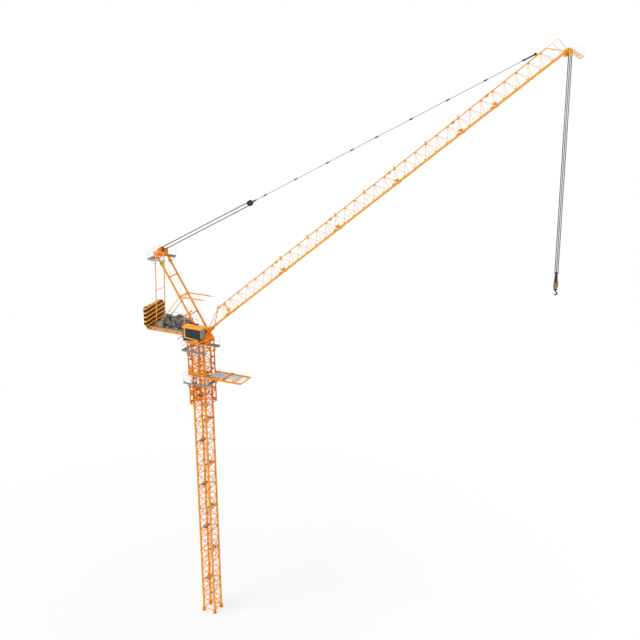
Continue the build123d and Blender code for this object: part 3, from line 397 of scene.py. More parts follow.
hoistTop = onJib(26.56, 0, -0.12)
hoistDrop = lift(ropeSizes["hoistLength"])
hookTop = hoistTop - hoistDrop
hoistBm = bmesh.new()
for y in (-ropeSizes["hoistSpread"], ropeSizes["hoistSpread"]):
    for x in (-ropeSizes["hoistOffset"], 0, ropeSizes["hoistOffset"]):
        top = hoistTop + Vector((x, y, 0))
        addRope(hoistBm, top, top - hoistDrop, ropeSizes["hoist"], ropeSizes["sides"])
hoistRopes = finishPiece(hoistBm, "hoist_rope_falls", None, "wire_rope", smooth=True)
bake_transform(hoistRopes)
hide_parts("hoist_ropes")
print("ropes strung")

# mast: splice flanges with bolts, chord casings, half-level bars, node plates, feet and rest platforms
mastSizes = {"half": 0.405, "feet": 0.2, "base": 2.25, "section": 1.5, "flange": (0.108, 0.108, 0.018),
             "ribs": ((0.094, 0.012, 0.07), (0.012, 0.094, 0.07)), "boltOut": 0.044, "boltHalf": 0.034,
             "bolt": 0.011, "halfBar": 0.019, "nodePlate": (0.034, 0.07, 0.11), "casing": 0.09,
             "casingGap": 0.09}
mastJoints = [mastSizes["feet"], mastSizes["base"]]
mastJoints += [2 * mastSizes["base"] + k * mastSizes["section"] for k in range(10)]
corners = [(x, y) for x in (-1, 1) for y in (-1, 1)]
sideTurns = [Matrix.Rotation(radians(90 * k), 4, "Z") for k in range(4)]


def onChord(sx, sy, z):
    return at(sx * mastSizes["half"], sy * mastSizes["half"], z)


flangeBm = bmesh.new()
boltBm = bmesh.new()
for z in mastJoints[1:-1]:
    for sx, sy in corners:
        spot = onChord(sx, sy, z)
        for side in (-1, 1):
            addBlock(flangeBm, spot + lift(side * 0.0095), mastSizes["flange"])
            for rib in mastSizes["ribs"]:
                addBlock(flangeBm, spot + lift(side * 0.052), rib)
        for bx, by in corners:
            bolt = spot + Vector((bx * mastSizes["boltOut"], by * mastSizes["boltOut"], 0))
            reach = lift(mastSizes["boltHalf"])
            addTube(boltBm, bolt - reach, bolt + reach, mastSizes["bolt"], 6)
finishPiece(flangeBm, "mast_splice_flanges", "tower", "tower_paint")
finishPiece(boltBm, "mast_splice_bolts", "tower", "pin_steel")

casingBm = bmesh.new()
halfBm = bmesh.new()
plateBm = bmesh.new()
face = mastSizes["half"]
inner = face - 0.038
for low, high in zip(mastJoints, mastJoints[1:]):
    bays = 3 if low < 4.4 else 2
    pitch = (high - low) / bays
    for sx, sy in corners:
        foot = onChord(sx, sy, 0)
        gap = mastSizes["casingGap"]
        addBar(casingBm, foot + lift(low + gap), foot + lift(high - gap), mastSizes["casing"])
    for k in range(bays):
        lean = 1 if k % 2 else -1
        for turn in sideTurns:
            ends = [turned(turn, face, side * inner, low + (k + 0.5) * pitch) for side in (-1, 1)]
            addBar(halfBm, *ends, mastSizes["halfBar"], side=upright)
            for side, rise, shift in ((lean, k * pitch, 0.045), (-lean, (k + 1) * pitch, -0.045)):
                spot = turned(turn, face, side * (inner - 0.03), low + rise + shift)
                addBlock(plateBm, spot, mastSizes["nodePlate"], turn)
softenEdges(casingBm, 0.008)
finishPiece(casingBm, "mast_chord_casings", "tower", "tower_paint")
finishPiece(halfBm, "mast_half_level_bars", "tower", "tower_paint")
finishPiece(plateBm, "mast_node_plates", "tower", "tower_paint")

footSizes = {"rib": (0.05, 0.014, 0.15), "ribOut": 0.066, "boltOut": 0.09, "bolt": 0.012,
             "levels": (0.025, 0.155)}
footBm = bmesh.new()
for sx, sy in corners:
    spot = onChord(sx, sy, 0)
    for k in range(4):
        turn = Matrix.Rotation(radians(45 + 90 * k), 4, "Z")
        addBlock(footBm, spot + turn @ Vector((footSizes["ribOut"], 0, 0.1)), footSizes["rib"], turn)
        for z in footSizes["levels"]:
            for swing in (-0.045, 0.045):
                foot = spot + turn @ Vector((footSizes["boltOut"], swing, z))
                addTube(footBm, foot, foot + lift(0.025), footSizes["bolt"], 6)
finishPiece(footBm, "foot_ribs_and_bolts", "tower", "tower_paint")

restSizes = {"middle": 0.2, "half": 0.155, "wide": 0.23, "rise": 0.021, "bars": 7, "pitch": 0.05, "slats": 8}
treadBm = bmesh.new()
for k, z in enumerate(mastJoints[1:-1]):
    side = 1 if k % 2 else -1
    middle, top = side * restSizes["middle"], z + restSizes["rise"]
    half, wide = restSizes["half"], restSizes["wide"]
    for j in range(restSizes["bars"]):
        x = middle + (j - 3) * restSizes["pitch"]
        addBar(treadBm, at(x, -wide, top), at(x, wide, top), 0.014, 0.014)
    for j in range(restSizes["slats"] + 1):
        y = -wide + j * 2 * wide / restSizes["slats"]
        addBar(treadBm, at(middle - half, y, top + 0.002), at(middle + half, y, top + 0.002), 0.012, 0.014)
    for y in (-wide, wide):
        addBar(treadBm, at(middle - half, y, top + 0.02), at(middle + half, y, top + 0.02), 0.006, 0.05)
        addBar(treadBm, at(side * 0.39, y, top - 0.01), at(side * 0.06, y, top - 0.01), 0.02)
treads = finishPiece(treadBm, "rest_platform_treads", "tower", "galvanised", "rest_brown")
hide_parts("mast_rest_platforms")
print("mast dressed")

# climbing cage: second diagonals, guide rollers on the mast chords, platform brackets, treads and toe boards
cageSizes = {"half": 0.567, "bottom": 14.6, "top": 18.6, "bay": 0.8, "bays": 5, "thinBar": 0.02,
             "inner": 0.597, "decks": (16.04, 18.12), "toeHeight": 0.075,
             "rollerLevels": (14.8, 16.75, 17.5), "roller": 0.036}
cageBm = bmesh.new()
for k in range(cageSizes["bays"]):
    low = cageSizes["bottom"] + k * cageSizes["bay"]
    lean = 1 if k % 2 else -1
    for index, turn in enumerate(sideTurns):
        if index == 0 and k > 1:
            continue  # the way in for a new section stays open
        ends = [turned(turn, cageSizes["half"], -side * lean * 0.537, low + rise)
                for side, rise in ((1, 0), (-1, cageSizes["bay"]))]
        addBar(cageBm, *ends, cageSizes["thinBar"], side=turn @ Vector((1, 0, 0)))
        for side in (-1, 1):
            spot = turned(turn, cageSizes["half"], side * 0.5, low + 0.05)
            addBlock(cageBm, spot, (0.04, 0.09, 0.12), turn)
for z in (cageSizes["bottom"] + 0.012, cageSizes["top"] - 0.012):
    for sx, sy in corners:
        addBlock(cageBm, at(sx * cageSizes["half"], sy * cageSizes["half"], z), (0.11, 0.11, 0.024))
lowDeck, highDeck = cageSizes["decks"]
deckSides = [(lowDeck, turn) for turn in sideTurns] + [(highDeck, turn) for turn in sideTurns[1:]]
for deck, turn in deckSides:
    for y in (-cageSizes["half"], cageSizes["half"]):
        foot = turned(turn, cageSizes["inner"], y, deck - 0.34)
        addBar(cageBm, foot, turned(turn, 0.80, y, deck - 0.06), 0.028, side=turn @ Vector((0, 1, 0)))
        ends = [turned(turn, out, y, deck - 0.055) for out in (cageSizes["inner"], 0.825)]
        addBar(cageBm, *ends, 0.03)
finishPiece(cageBm, "cage_counter_braces", "tower", "tower_paint", "cage_orange")

rollerBm = bmesh.new()
rollerHolderBm = bmesh.new()
for z in cageSizes["rollerLevels"]:
    for turn in sideTurns:
        for y, postY in ((-0.405, -0.55), (0.405, 0.55)):
            spot = turned(turn, 0.451 + cageSizes["roller"], y, z)
            axle = turn @ Vector((0, 0.03, 0))
            addTube(rollerBm, spot - axle, spot + axle, cageSizes["roller"], 14)
            for side in (-1, 1):
                cheek = spot + turn @ Vector((0.025, side * 0.038, 0))
                addBlock(rollerHolderBm, cheek, (0.075, 0.012, 0.07), turn)
            addBar(rollerHolderBm, spot + turn @ Vector((0.06, -0.05, 0)), turned(turn, 0.545, postY, z),
                   0.03, 0.06, upright)
finishPiece(rollerBm, "cage_guide_rollers", "tower", "machine_grey", smooth=True)
finishPiece(rollerHolderBm, "cage_roller_brackets", "tower", "tower_paint", "cage_orange")

deckTreadBm = bmesh.new()
cageToeBm = bmesh.new()
for deck, turn in deckSides:
    for k in range(21):
        ends = [turned(turn, out, -0.8 + k * 0.08, deck + 0.004) for out in (0.602, 0.826)]
        addBar(deckTreadBm, *ends, 0.01, 0.01)
    if turn == sideTurns[0]:
        continue
    ends = [turned(turn, 0.827, y, deck + 0.02) for y in (-0.83, 0.83)]
    addBar(cageToeBm, *ends, 0.006, cageSizes["toeHeight"])
finishPiece(deckTreadBm, "cage_deck_treads", "tower", "galvanised")
finishPiece(cageToeBm, "cage_deck_toe_boards", "tower", "galvanised")

# hydraulic pump cabinet on the lower deck, and the climbing gear's valve blocks, pins and hooks
pumpSizes = {"middle": (-0.5, -0.715, 16.29), "sizes": (0.44, 0.2, 0.46), "edge": 0.012}
pumpBm = bmesh.new()
addBlock(pumpBm, at(*pumpSizes["middle"]), pumpSizes["sizes"])
softenEdges(pumpBm, pumpSizes["edge"])
for k in range(4):
    addBlock(pumpBm, at(-0.6, -0.817, 16.17 + k * 0.045), (0.13, 0.008, 0.018))
addBlock(pumpBm, at(-0.34, -0.818, 16.3), (0.02, 0.012, 0.07))
finishPiece(pumpBm, "climbing_pump_cabinet", "tower", "rail_paint", "white_paint")

gearSizes = {"x": -0.15, "y": -0.497, "collars": (15.5, 15.85, 16.18),
             "blocks": ((-0.15, -0.548, 16.0, (0.11, 0.03, 0.13)), (0.02, -0.52, 15.65, (0.24, 0.08, 0.17)),
                        (-0.22, -0.53, 15.84, (0.11, 0.05, 0.2))),
             "pins": ((-0.06, 0.08, -0.562, 15.65, 0.018, 10), (-0.18, 0.03, -0.56, 16.0, 0.009, 8))}
gearBm = bmesh.new()
gearX, gearY = gearSizes["x"], gearSizes["y"]
for side in (-1, 1):
    addTube(gearBm, at(gearX + side * 0.05, gearY, 16.2), at(gearX + side * 0.05, gearY, 15.3), 0.011, 8)
for z in gearSizes["collars"]:
    addTube(gearBm, at(gearX, gearY, z), at(gearX, gearY, z + 0.035), 0.046, 20)
for x, y, z, wide in gearSizes["blocks"]:
    addBlock(gearBm, at(x, y, z), wide)
addBar(gearBm, at(-0.2, -0.51, 15.8), at(0.02, -0.51, 15.68), 0.04, 0.06)
for start, step, y, z, wide, sides in gearSizes["pins"]:
    for k in range(3):
        addTube(gearBm, at(start + k * step, y, z), at(start + k * step, y - 0.018, z), wide, sides)
finishPiece(gearBm, "climbing_cylinder_fittings", "tower", "hydraulic_red")

# climbing yoke on the near side: a cross beam, its brace and the corner plates that take the load
yokeSizes = {"out": -0.612, "beamZ": 16.65, "beam": (0.04, 0.13), "brace": (0.03, 0.1),
             "plates": ((-0.42, 16.78, 0.28, 0.52), (-0.44, 15.36, 0.2, 0.38), (0.48, 16.74, 0.14, 0.3))}
yokeBm = bmesh.new()
y = yokeSizes["out"]
for side in (-1, 1):
    addBlock(yokeBm, at(gearX + side * 0.2, gearY, 15.12), (0.09, 0.05, 0.1))
    addBlock(yokeBm, at(gearX + side * 0.255, gearY, 15.02), (0.012, 0.078, 0.17))
addBar(yokeBm, at(-0.56, y, yokeSizes["beamZ"]), at(0.56, y, yokeSizes["beamZ"]), *yokeSizes["beam"])
addBar(yokeBm, at(-0.14, y, 17.3), at(0.5, y, 16.86), *yokeSizes["brace"])
addBar(yokeBm, at(-0.55, y, 15.85), at(-0.06, y, 15.52), *yokeSizes["brace"])
for x, z, wide, tall in yokeSizes["plates"]:
    addBlock(yokeBm, at(x, y + 0.008, z), (wide, 0.018, tall))
    for dx in (-0.3, 0.3):
        for dz in (-0.4, 0, 0.4):
            bolt = at(x + dx * wide, y, z + dz * tall)
            addTube(yokeBm, bolt, bolt - Vector((0, 0.016, 0)), 0.012, 6)
finishPiece(yokeBm, "climbing_yoke", "tower", "tower_paint", "cage_orange")

# introducing beam: flanges, diagonal ties, bearers, gratings, a trolley and stay rods
beamSizes = {"start": 0.597, "pitch": 0.603, "thin": 0.018, "sideY": (-0.567, 0.567), "inner": 0.54,
             "flanges": ((16.488, 0.1), (16.566, 0.086)), "stayEnd": 2.86, "stay": 0.006, "gratingZ": 16.576,
             "closedPanel": (0.78, 1.78), "openPanel": (1.83, 2.62), "panelHalf": 0.36,
             "bearers": (0.79, 1.805, 2.61)}
beamBm = bmesh.new()
for y in beamSizes["sideY"]:
    for z, wide in beamSizes["flanges"]:
        addBar(beamBm, at(0.6, y, z), at(3.03, y, z), wide, 0.012)
    for k in range(8):
        addBlock(beamBm, at(0.72 + k * 0.3, y, 16.53), (0.01, 0.084, 0.064))
inner = beamSizes["inner"]
for k in range(4):
    x = beamSizes["start"] + k * beamSizes["pitch"]
    lean = inner if k % 2 else -inner
    addBar(beamBm, at(x, -lean, 16.51), at(x + beamSizes["pitch"], lean, 16.51), beamSizes["thin"])
for x in beamSizes["bearers"]:
    addBar(beamBm, at(x, -inner, 16.545), at(x, inner, 16.545), 0.03)
finishPiece(beamBm, "introducing_beam_flanges", "tower", "tower_paint")
gratingBm = bmesh.new()
low, high = beamSizes["closedPanel"]
half = beamSizes["panelHalf"]
top = beamSizes["gratingZ"]
addBlock(gratingBm, at((low + high) / 2, 0, 16.566), (high - low, 2 * half, 0.012))
for start, stop, pitch in ((low, high, 0.05), (*beamSizes["openPanel"], 0.034)):
    count = int((stop - start) / pitch)
    for j in range(count + 1):
        x = start + 0.01 + j * (stop - start - 0.02) / count
        addBar(gratingBm, at(x, -half, top), at(x, half, top), 0.012, 0.014)
    for j in range(7):
        y = (j - 3) * half / 3
        addBar(gratingBm, at(start, y, top + 0.002), at(stop, y, top + 0.002), 0.012, 0.014)
gratings = finishPiece(gratingBm, "introducing_grating_bars", "tower", "galvanised", "pale_zinc")
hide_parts("introducing_gratings")
trolleyX = beamSizes["bearers"][1]
trolleyBm = bmesh.new()
addBlock(trolleyBm, at(trolleyX, 0, 16.625), (0.07, 1.1, 0.06))
for y in (-0.53, 0.53):
    addBlock(trolleyBm, at(trolleyX, y, 16.61), (0.2, 0.05, 0.06))
    for x in (trolleyX - 0.07, trolleyX + 0.07):
        addTube(trolleyBm, at(x, y - 0.035, 16.607), at(x, y + 0.035, 16.607), 0.034, 16)
softenEdges(trolleyBm, 0.006)
finishPiece(trolleyBm, "introducing_trolley", "tower", "tower_paint", "cage_orange")
stayBm = bmesh.new()
for y in beamSizes["sideY"]:
    low, high = at(beamSizes["stayEnd"], y, 16.59), at(0.6, y, 17.62)
    addTube(stayBm, low, high, beamSizes["stay"], 8)
    addTube(stayBm, low.lerp(high, 0.12), low.lerp(high, 0.2), 0.014, 8)
    for end in (low, high):
        addBlock(stayBm, end, (0.05, 0.012, 0.05))
stays = finishPiece(stayBm, "introducing_stay_rods", "tower", "rail_paint")
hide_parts("introducing_stays")
print("cage and beam dressed")

# slewing: bracing under the support plate, gear teeth and bolts on the ring, and two upright slewing drives
slewSizes = {"legs": 0.405, "low": 18.0, "plate": 18.6, "plateHalf": 0.605, "ring": 0.52,
             "ringMiddle": 18.681, "teeth": 84, "bolts": 40, "driveX": (-0.26, 0.26),
             "driveY": 0.585, "driveLow": 18.725,
             "rounds": ((0.01, 0.2, 0.085, 0.085), (0.2, 0.24, 0.1, 0.1), (0.24, 0.5, 0.068, 0.068),
                        (0.5, 0.54, 0.068, 0.03))}
supportBm = bmesh.new()
legs, plate, edge = slewSizes["legs"], slewSizes["plate"], slewSizes["plateHalf"] - 0.006
for turn in sideTurns:
    outward = turn @ Vector((1, 0, 0))
    ends = [turned(turn, legs, side * 0.367, plate - 0.045) for side in (-1, 1)]
    addBar(supportBm, *ends, 0.05, 0.09, outward)
    foot = turned(turn, legs, 0.36, slewSizes["low"] + 0.03)
    addBar(supportBm, foot, turned(turn, legs, -0.36, plate - 0.09), 0.026, side=outward)
    ends = [turned(turn, edge, side * edge, plate - 0.02) for side in (-1, 1)]
    addBar(supportBm, *ends, 0.012, 0.06, outward)
    for k in range(5):
        addBlock(supportBm, turned(turn, 0.505, -0.44 + k * 0.22, plate - 0.035), (0.19, 0.014, 0.07), turn)
    for side in (-1, 1):
        addBlock(supportBm, turned(turn, legs, side * 0.33, plate - 0.13), (0.03, 0.1, 0.12), turn)
for k in range(slewSizes["bolts"]):
    turn = stepTurn(k, slewSizes["bolts"], "Z")
    spot = turned(turn, slewSizes["ring"] + 0.028, 0, plate + 0.05)
    addTube(supportBm, spot, spot + lift(0.014), 0.011, 6)
finishPiece(supportBm, "slewing_support_ribs", "tower", "tower_paint")
teethBm = bmesh.new()
for k in range(slewSizes["teeth"]):
    turn = stepTurn(k, slewSizes["teeth"], "Z")
    spot = turned(turn, slewSizes["ring"] + 0.004, 0, slewSizes["ringMiddle"])
    addBlock(teethBm, spot, (0.024, 0.019, 0.036), turn)
finishPiece(teethBm, "slewing_ring_teeth", "upperworks", "tower_paint", "rich_orange")
driveBm = bmesh.new()
driveSeatBm = bmesh.new()
for x in slewSizes["driveX"]:
    foot = at(x, slewSizes["driveY"], slewSizes["driveLow"])
    for low, high, wide, top in slewSizes["rounds"]:
        addTube(driveBm, foot + lift(low), foot + lift(high), wide, 20, top)
    for k in range(12):
        turn = stepTurn(k, 12, "Z")
        addBlock(driveBm, foot + turn @ Vector((0.072, 0, 0.375)), (0.014, 0.007, 0.23), turn)
    addBlock(driveBm, foot + Vector((0.08, 0, 0.38)), (0.06, 0.07, 0.09))
    addBlock(driveSeatBm, foot + Vector((0, -0.01, 0)), (0.24, 0.21, 0.03))
    for side in (-1, 1):
        addBlock(driveSeatBm, foot + Vector((side * 0.11, -0.05, 0.06)), (0.014, 0.1, 0.11))
finishPiece(driveBm, "slewing_drives", "upperworks", "machine_grey")
finishPiece(driveSeatBm, "slewing_drive_seats", "upperworks", "tower_paint")

# turntable: a wide bottom flange, edge strips, upright stiffeners and round access covers
tableSizes = {"wide": 0.48, "long": 0.6, "low": 18.726, "high": 19.34, "step": 18.98, "strip": 0.026,
              "uprights": (-0.58, -0.2, 0.2, 0.4), "covers": (-0.39, 0.0), "coverZ": 19.16, "cover": 0.12}
tableBm = bmesh.new()
long, low, high, step = (tableSizes[name] for name in ("long", "low", "high", "step"))
for side in (-1, 1):
    y = side * (tableSizes["wide"] + 0.012)
    flange = side * (tableSizes["wide"] + 0.05)
    addBar(tableBm, at(-long, flange, low), at(long, flange, low), 0.1, 0.024)
    addBar(tableBm, at(-long, y, high), at(0.42, y, high), tableSizes["strip"])
    for x in tableSizes["uprights"]:
        addBlock(tableBm, at(x, y, 19.04), (0.018, 0.024, 0.62))
        addBlock(tableBm, at(x, flange, 18.765), (0.016, 0.09, 0.06))
    for x in tableSizes["covers"]:
        spot = at(x, side * 0.478, tableSizes["coverZ"])
        rim = spot + Vector((0, side * 0.02, 0))
        addTube(tableBm, spot, rim, tableSizes["cover"], 28)
        addBolts(tableBm, rim, 8, 0.1, 0.008, side * 0.008)
    for k in range(8):  # strip along the hollow front edge
        ends = [at(long - 0.18 * sin(a), y, step - 0.18 * cos(a)) for a in (k * pi / 16, (k + 1) * pi / 16)]
        addBar(tableBm, *ends, tableSizes["strip"], 0.02)
    addBar(tableBm, at(0.412, y, step), at(0.412, y, high), tableSizes["strip"], 0.02)
for x in (-0.606, 0.606):
    addBar(tableBm, at(x, -0.53, low), at(x, 0.53, low), 0.026, 0.026)
for y in (-0.24, 0, 0.24):
    addBlock(tableBm, at(0.52, y, 18.86), (0.15, 0.016, 0.14))
finishPiece(tableBm, "turntable_stiffeners", "upperworks", "tower_paint", "rich_orange")
pinBm = bmesh.new()
for y in (-0.34, 0.34):
    for side in (-1, 1):
        end = at(jibFoot.x, y + side * 0.0725, jibFoot.z)
        for low, high, wide, sides in ((0, 0.016, 0.062, 24), (0.016, 0.024, 0.02, 12)):
            addTube(pinBm, end + Vector((0, side * low, 0)), end + Vector((0, side * high, 0)), wide, sides)
        addBlock(pinBm, end + Vector((0, side * 0.01, 0.069)), (0.07, 0.01, 0.024))
finishPiece(pinBm, "jib_pivot_keepers", "upperworks", "pin_steel")

# deck: beam flanges, floor bars under the machines, walkway treads, toe boards and ties for the slabs
deckSizes = {"rear": -3.13, "front": -0.69, "beamY": 0.45, "flanges": (19.064, 19.264), "edgeY": 0.755,
             "posts": (-3.1, -2.65, -2.2, -1.75, -1.3, -0.85), "ties": ((-3.07, -2.02), (-1.98, -1.27)),
             "treadZ": 19.289, "treadPitch": 0.06}
deckBm = bmesh.new()
walkBm = bmesh.new()
deckToeBm = bmesh.new()
rear, treadZ = deckSizes["rear"], deckSizes["treadZ"]
for side in (-1, 1):
    beamY = side * deckSizes["beamY"]
    for z in deckSizes["flanges"]:
        addBar(deckBm, at(rear, beamY, z), at(-0.6, beamY, z), 0.12, 0.012)
    for x in deckSizes["posts"]:
        addBlock(deckBm, at(x, side * deckSizes["edgeY"], 19.17), (0.04, 0.03, 0.1))
        addBlock(deckBm, at(x + 0.1, beamY, 19.165), (0.012, 0.112, 0.19))
    for start, end in deckSizes["ties"]:
        addBar(deckBm, at(start, side * 0.42, 19.1), at(end, -side * 0.42, 19.1), 0.028)
    for k in range(41):
        x = rear + 0.03 + k * deckSizes["treadPitch"]
        addBar(walkBm, at(x, side * 0.5, treadZ), at(x, side * 0.775, treadZ), 0.008, 0.01)
    for y in (0.52, 0.6, 0.68):
        addBar(walkBm, at(rear, side * y, treadZ), at(-0.7, side * y, treadZ), 0.006, 0.008)
    addBar(deckToeBm, at(rear, side * 0.776, 19.3), at(deckSizes["front"], side * 0.776, 19.3), 0.005, 0.035)
finishPiece(deckBm, "deck_beam_flanges", "upperworks", "tower_paint")
finishPiece(walkBm, "deck_walkway_treads", "upperworks", "galvanised")
finishPiece(deckToeBm, "deck_toe_boards", "upperworks", "galvanised")

# counterweights: lifting eyes on top and the long tie bolts through the pack
slabSizes = {"front": -3.136, "pitch": 0.081, "thick": 0.075, "count": 2, "top": 20.54, "eyeY": 0.5,
             "tieY": 0.66}
slabBm = bmesh.new()
for k in range(slabSizes["count"]):
    x = slabSizes["front"] - k * slabSizes["pitch"] - slabSizes["thick"] / 2
    for y in (-slabSizes["eyeY"], slabSizes["eyeY"]):
        ring = bmesh.ops.create_circle(slabBm, segments=8, radius=0.012,
                                       matrix=Matrix.Translation(at(x, y + 0.05, slabSizes["top"])))
        bmesh.ops.spin(slabBm, geom=ring["verts"] + edgesOf(ring["verts"]), cent=at(x, y, slabSizes["top"]),
                       axis=(1, 0, 0), angle=pi, steps=12)
slabRear = slabSizes["front"] - slabSizes["count"] * slabSizes["pitch"] + 0.006
for y in (-slabSizes["tieY"], slabSizes["tieY"]):
    for z in (19.5, 20.2):
        addTube(slabBm, at(slabRear - 0.022, y, z), at(slabSizes["front"] + 0.022, y, z), 0.02, 8)
        for x in (slabRear - 0.006, slabSizes["front"] + 0.006):
            addTube(slabBm, at(x - 0.008, y, z), at(x + 0.008, y, z), 0.042, 6)
finishPiece(slabBm, "counterweight_eyes_and_bolts", "upperworks", "pin_steel")
print("slewing parts and deck dressed")

# winches: layered rope on the drum, finned motor, gearbox, brake and rope guard
winchSizes = {"axle": 19.6, "drum": 0.184, "rope": 0.013, "turns": 38, "long": 0.5, "frame": 0.2}
winches = {"luffing": {"x": -2.36, "motor": 1, "motorLong": 0.085},
           "hoist": {"x": -1.5, "motor": -1, "motorLong": 0.21}}
for winchName, winch in winches.items():
    x, side, axle = winch["x"], winch["motor"], winchSizes["axle"]
    windBm = bmesh.new()
    centre = at(x, 0, axle)
    profile = []
    step = winchSizes["long"] / (winchSizes["turns"] * 2)
    for k in range(winchSizes["turns"] * 2 + 1):
        swell = winchSizes["rope"] if k % 2 else 0
        spot = centre + Vector((0, -winchSizes["long"] / 2 + k * step, winchSizes["drum"] + swell))
        profile.append(windBm.verts.new(spot))
    edges = [windBm.edges.new(pair) for pair in zip(profile, profile[1:])]
    bmesh.ops.spin(windBm, geom=profile + edges, cent=centre, axis=(0, 1, 0), angle=tau, steps=36,
                   use_merge=True)
    finishPiece(windBm, winchName + "_rope_layers", "upperworks", "wire_rope", "greased_rope", smooth=True)
    machineBm = bmesh.new()
    for k in range(max(3, int(winch["motorLong"] / 0.022))):
        y = side * 0.345 + side * (0.01 + k * 0.022)
        addTube(machineBm, at(x, y, axle), at(x, y + side * 0.009, axle), 0.118, 24)
    for k in range(10):
        turn = stepTurn(k, 10, "Y")
        for y in (-0.292, 0.292):
            addBlock(machineBm, at(x, y, axle) + turn @ Vector((0.225, 0, 0)), (0.03, 0.014, 0.05), turn)
    addBlock(machineBm, at(x, -side * 0.39, 19.58), (0.26, 0.1, 0.34))
    gearEnd = at(x, -side * 0.44, axle)
    addBolts(machineBm, gearEnd, 6, 0.1, 0.013, -side * 0.014)
    addTube(machineBm, gearEnd, at(x, -side * 0.46, axle), 0.065, 20)
    addBlock(machineBm, at(x + 0.02, -side * 0.39, 19.79), (0.12, 0.08, 0.1))
    sides = (x - winchSizes["frame"], x + winchSizes["frame"])
    for y in (-0.27, 0.27):
        addBar(machineBm, at(sides[0], y, 19.84), at(sides[1], y, 19.84), 0.02, 0.03)
    for post in sides:
        addBar(machineBm, at(post, -0.28, 19.85), at(post, 0.28, 19.85), 0.03)
    for post in sides:
        for y in (-0.31, 0.31):
            addBar(machineBm, at(post, y, 19.33), at(post, y, 19.86), 0.026)
    finishPiece(machineBm, winchName + "_winch_machinery", "upperworks", "machine_grey")

# switch cabinet: doors, hinges, louvres, roof cap and a second box of resistors beside it
cabinetSizes = {"x": -0.96, "y": 0.285, "face": -1.113, "resistors": (-1.0, -0.2)}
cabinetBm = bmesh.new()
x, y, face = cabinetSizes["x"], cabinetSizes["y"], cabinetSizes["face"]
addBlock(cabinetBm, at(x, y, 19.745), (0.34, 0.46, 0.03))
for side in (-1, 1):
    door = y + side * 0.103
    addBlock(cabinetBm, at(face, door, 19.48), (0.012, 0.196, 0.38))
    addBlock(cabinetBm, at(face - 0.01, y + side * 0.02, 19.48), (0.014, 0.012, 0.07))
    for k in range(5):
        addBlock(cabinetBm, at(face - 0.008, door, 19.36 + k * 0.026), (0.01, 0.14, 0.01))
    for k in range(6):
        addBlock(cabinetBm, at(x, y + side * 0.212, 19.4 + k * 0.03), (0.2, 0.01, 0.012))
x, y = cabinetSizes["resistors"]
addBlock(cabinetBm, at(x, y, 19.46), (0.24, 0.34, 0.36))
for k in range(9):
    addBlock(cabinetBm, at(x, y, 19.31 + k * 0.038), (0.256, 0.356, 0.012))
addBlock(cabinetBm, at(x, y, 19.655), (0.28, 0.38, 0.03))
finishPiece(cabinetBm, "switch_cabinet_doors", "upperworks", "machine_grey")

# closed machines beside the winches: gear housing with a ridge roof, covers, painted shade strips, a fan
# unit, motors and a box
unitSizes = {"near": -0.42, "floor": 19.29, "ridge": (-2.32, -1.92, -2.11, -0.385, 19.86),
             "housings": ((-2.32, -1.92, -0.42, -0.35, 19.86), (-1.92, -1.44, -0.41, -0.1, 19.68),
                          (-1.68, -1.3, -0.42, 0.3, 19.92), (-1.3, -1.12, -0.42, 0.3, 19.84),
                          (-2.02, -1.72, -0.1, 0.4, 19.72)),
             "covers": ((-2.15, 19.74, 0.1), (-1.735, 19.6, 0.08), (-1.5, 19.74, 0.07),
                        (-1.2, 19.62, 0.065)),
             "paintedShadeSlots": ((-2.28, -1.98, 19.42), (-1.9, -1.62, 19.36), (-1.66, -1.36, 19.5),
                           (-1.28, -1.16, 19.36)),
             "tops": ((-1.62, -0.12, 19.935, (0.13, 0.26, 0.03)), (-1.36, -0.2, 19.935, (0.1, 0.34, 0.03)),
                      (-1.8, -0.24, 19.69, (0.16, 0.2, 0.02))),
             "motors": ((-1.6, -0.3, 0.34), (-1.42, 0.05, 0.3))}
unitBm = bmesh.new()
floorZ = unitSizes["floor"]
for low, high, near, far, top in unitSizes["housings"]:
    middle = at((low + high) / 2, (near + far) / 2, (floorZ + top) / 2)
    addBlock(unitBm, middle, (high - low, far - near, top - floorZ))
softenEdges(unitBm, 0.016)
rear, front, peak, ridgeY, top = unitSizes["ridge"]
for end in (rear, front):
    addBar(unitBm, at(end, ridgeY, top - 0.01), at(peak, ridgeY, top + 0.11), 0.1, 0.024)
addBlock(unitBm, at(peak, ridgeY, top + 0.03), (0.16, 0.07, 0.12))
coverAndShadeBm = bmesh.new()
for x, z, wide in unitSizes["covers"]:
    spot = at(x, unitSizes["near"] + 0.01, z)
    rim = spot - Vector((0, 0.03, 0))
    addTube(coverAndShadeBm, spot, rim, wide, 24)
    addTube(unitBm, rim, spot - Vector((0, 0.045, 0)), wide * 0.5, 20)
    addBolts(unitBm, rim, 8, wide * 0.8, 0.009, -0.012)
# painted shade: thin black strips on the housings' near faces stand in for shadowed gaps between the
# machines
for low, high, z in unitSizes["paintedShadeSlots"]:
    addBlock(coverAndShadeBm, at((low + high) / 2, unitSizes["near"] - 0.004, z), (high - low, 0.012, 0.09))
for end in (rear, front):
    addBar(coverAndShadeBm, at(end, ridgeY, 19.862), at(peak, ridgeY, 19.982), 0.12, 0.016)
for x, y, z, wide in unitSizes["tops"]:
    addBlock(coverAndShadeBm, at(x, y, z), wide)
finishPiece(coverAndShadeBm, "gear_housing_covers_and_shade_strips", "upperworks", "machine_grey", "black_rubber")
for x, y, long in unitSizes["motors"]:
    addTube(unitBm, at(x - long / 2, y, 19.97), at(x + long / 2, y, 19.97), 0.06, 18)
    for k in range(7):
        ring = at(x - long / 2 + 0.03 + k * (long - 0.06) / 6, y, 19.97)
        addTube(unitBm, ring, ring + Vector((0.012, 0, 0)), 0.07, 18)
for k in range(6):
    addBlock(unitBm, at(-1.9 + k * 0.06, -0.414, 19.4), (0.03, 0.012, 0.14))
    addBlock(unitBm, at(-1.21, -0.424, 19.4 + k * 0.03), (0.13, 0.012, 0.012))
finishPiece(unitBm, "gear_housings", "upperworks", "machine_grey")
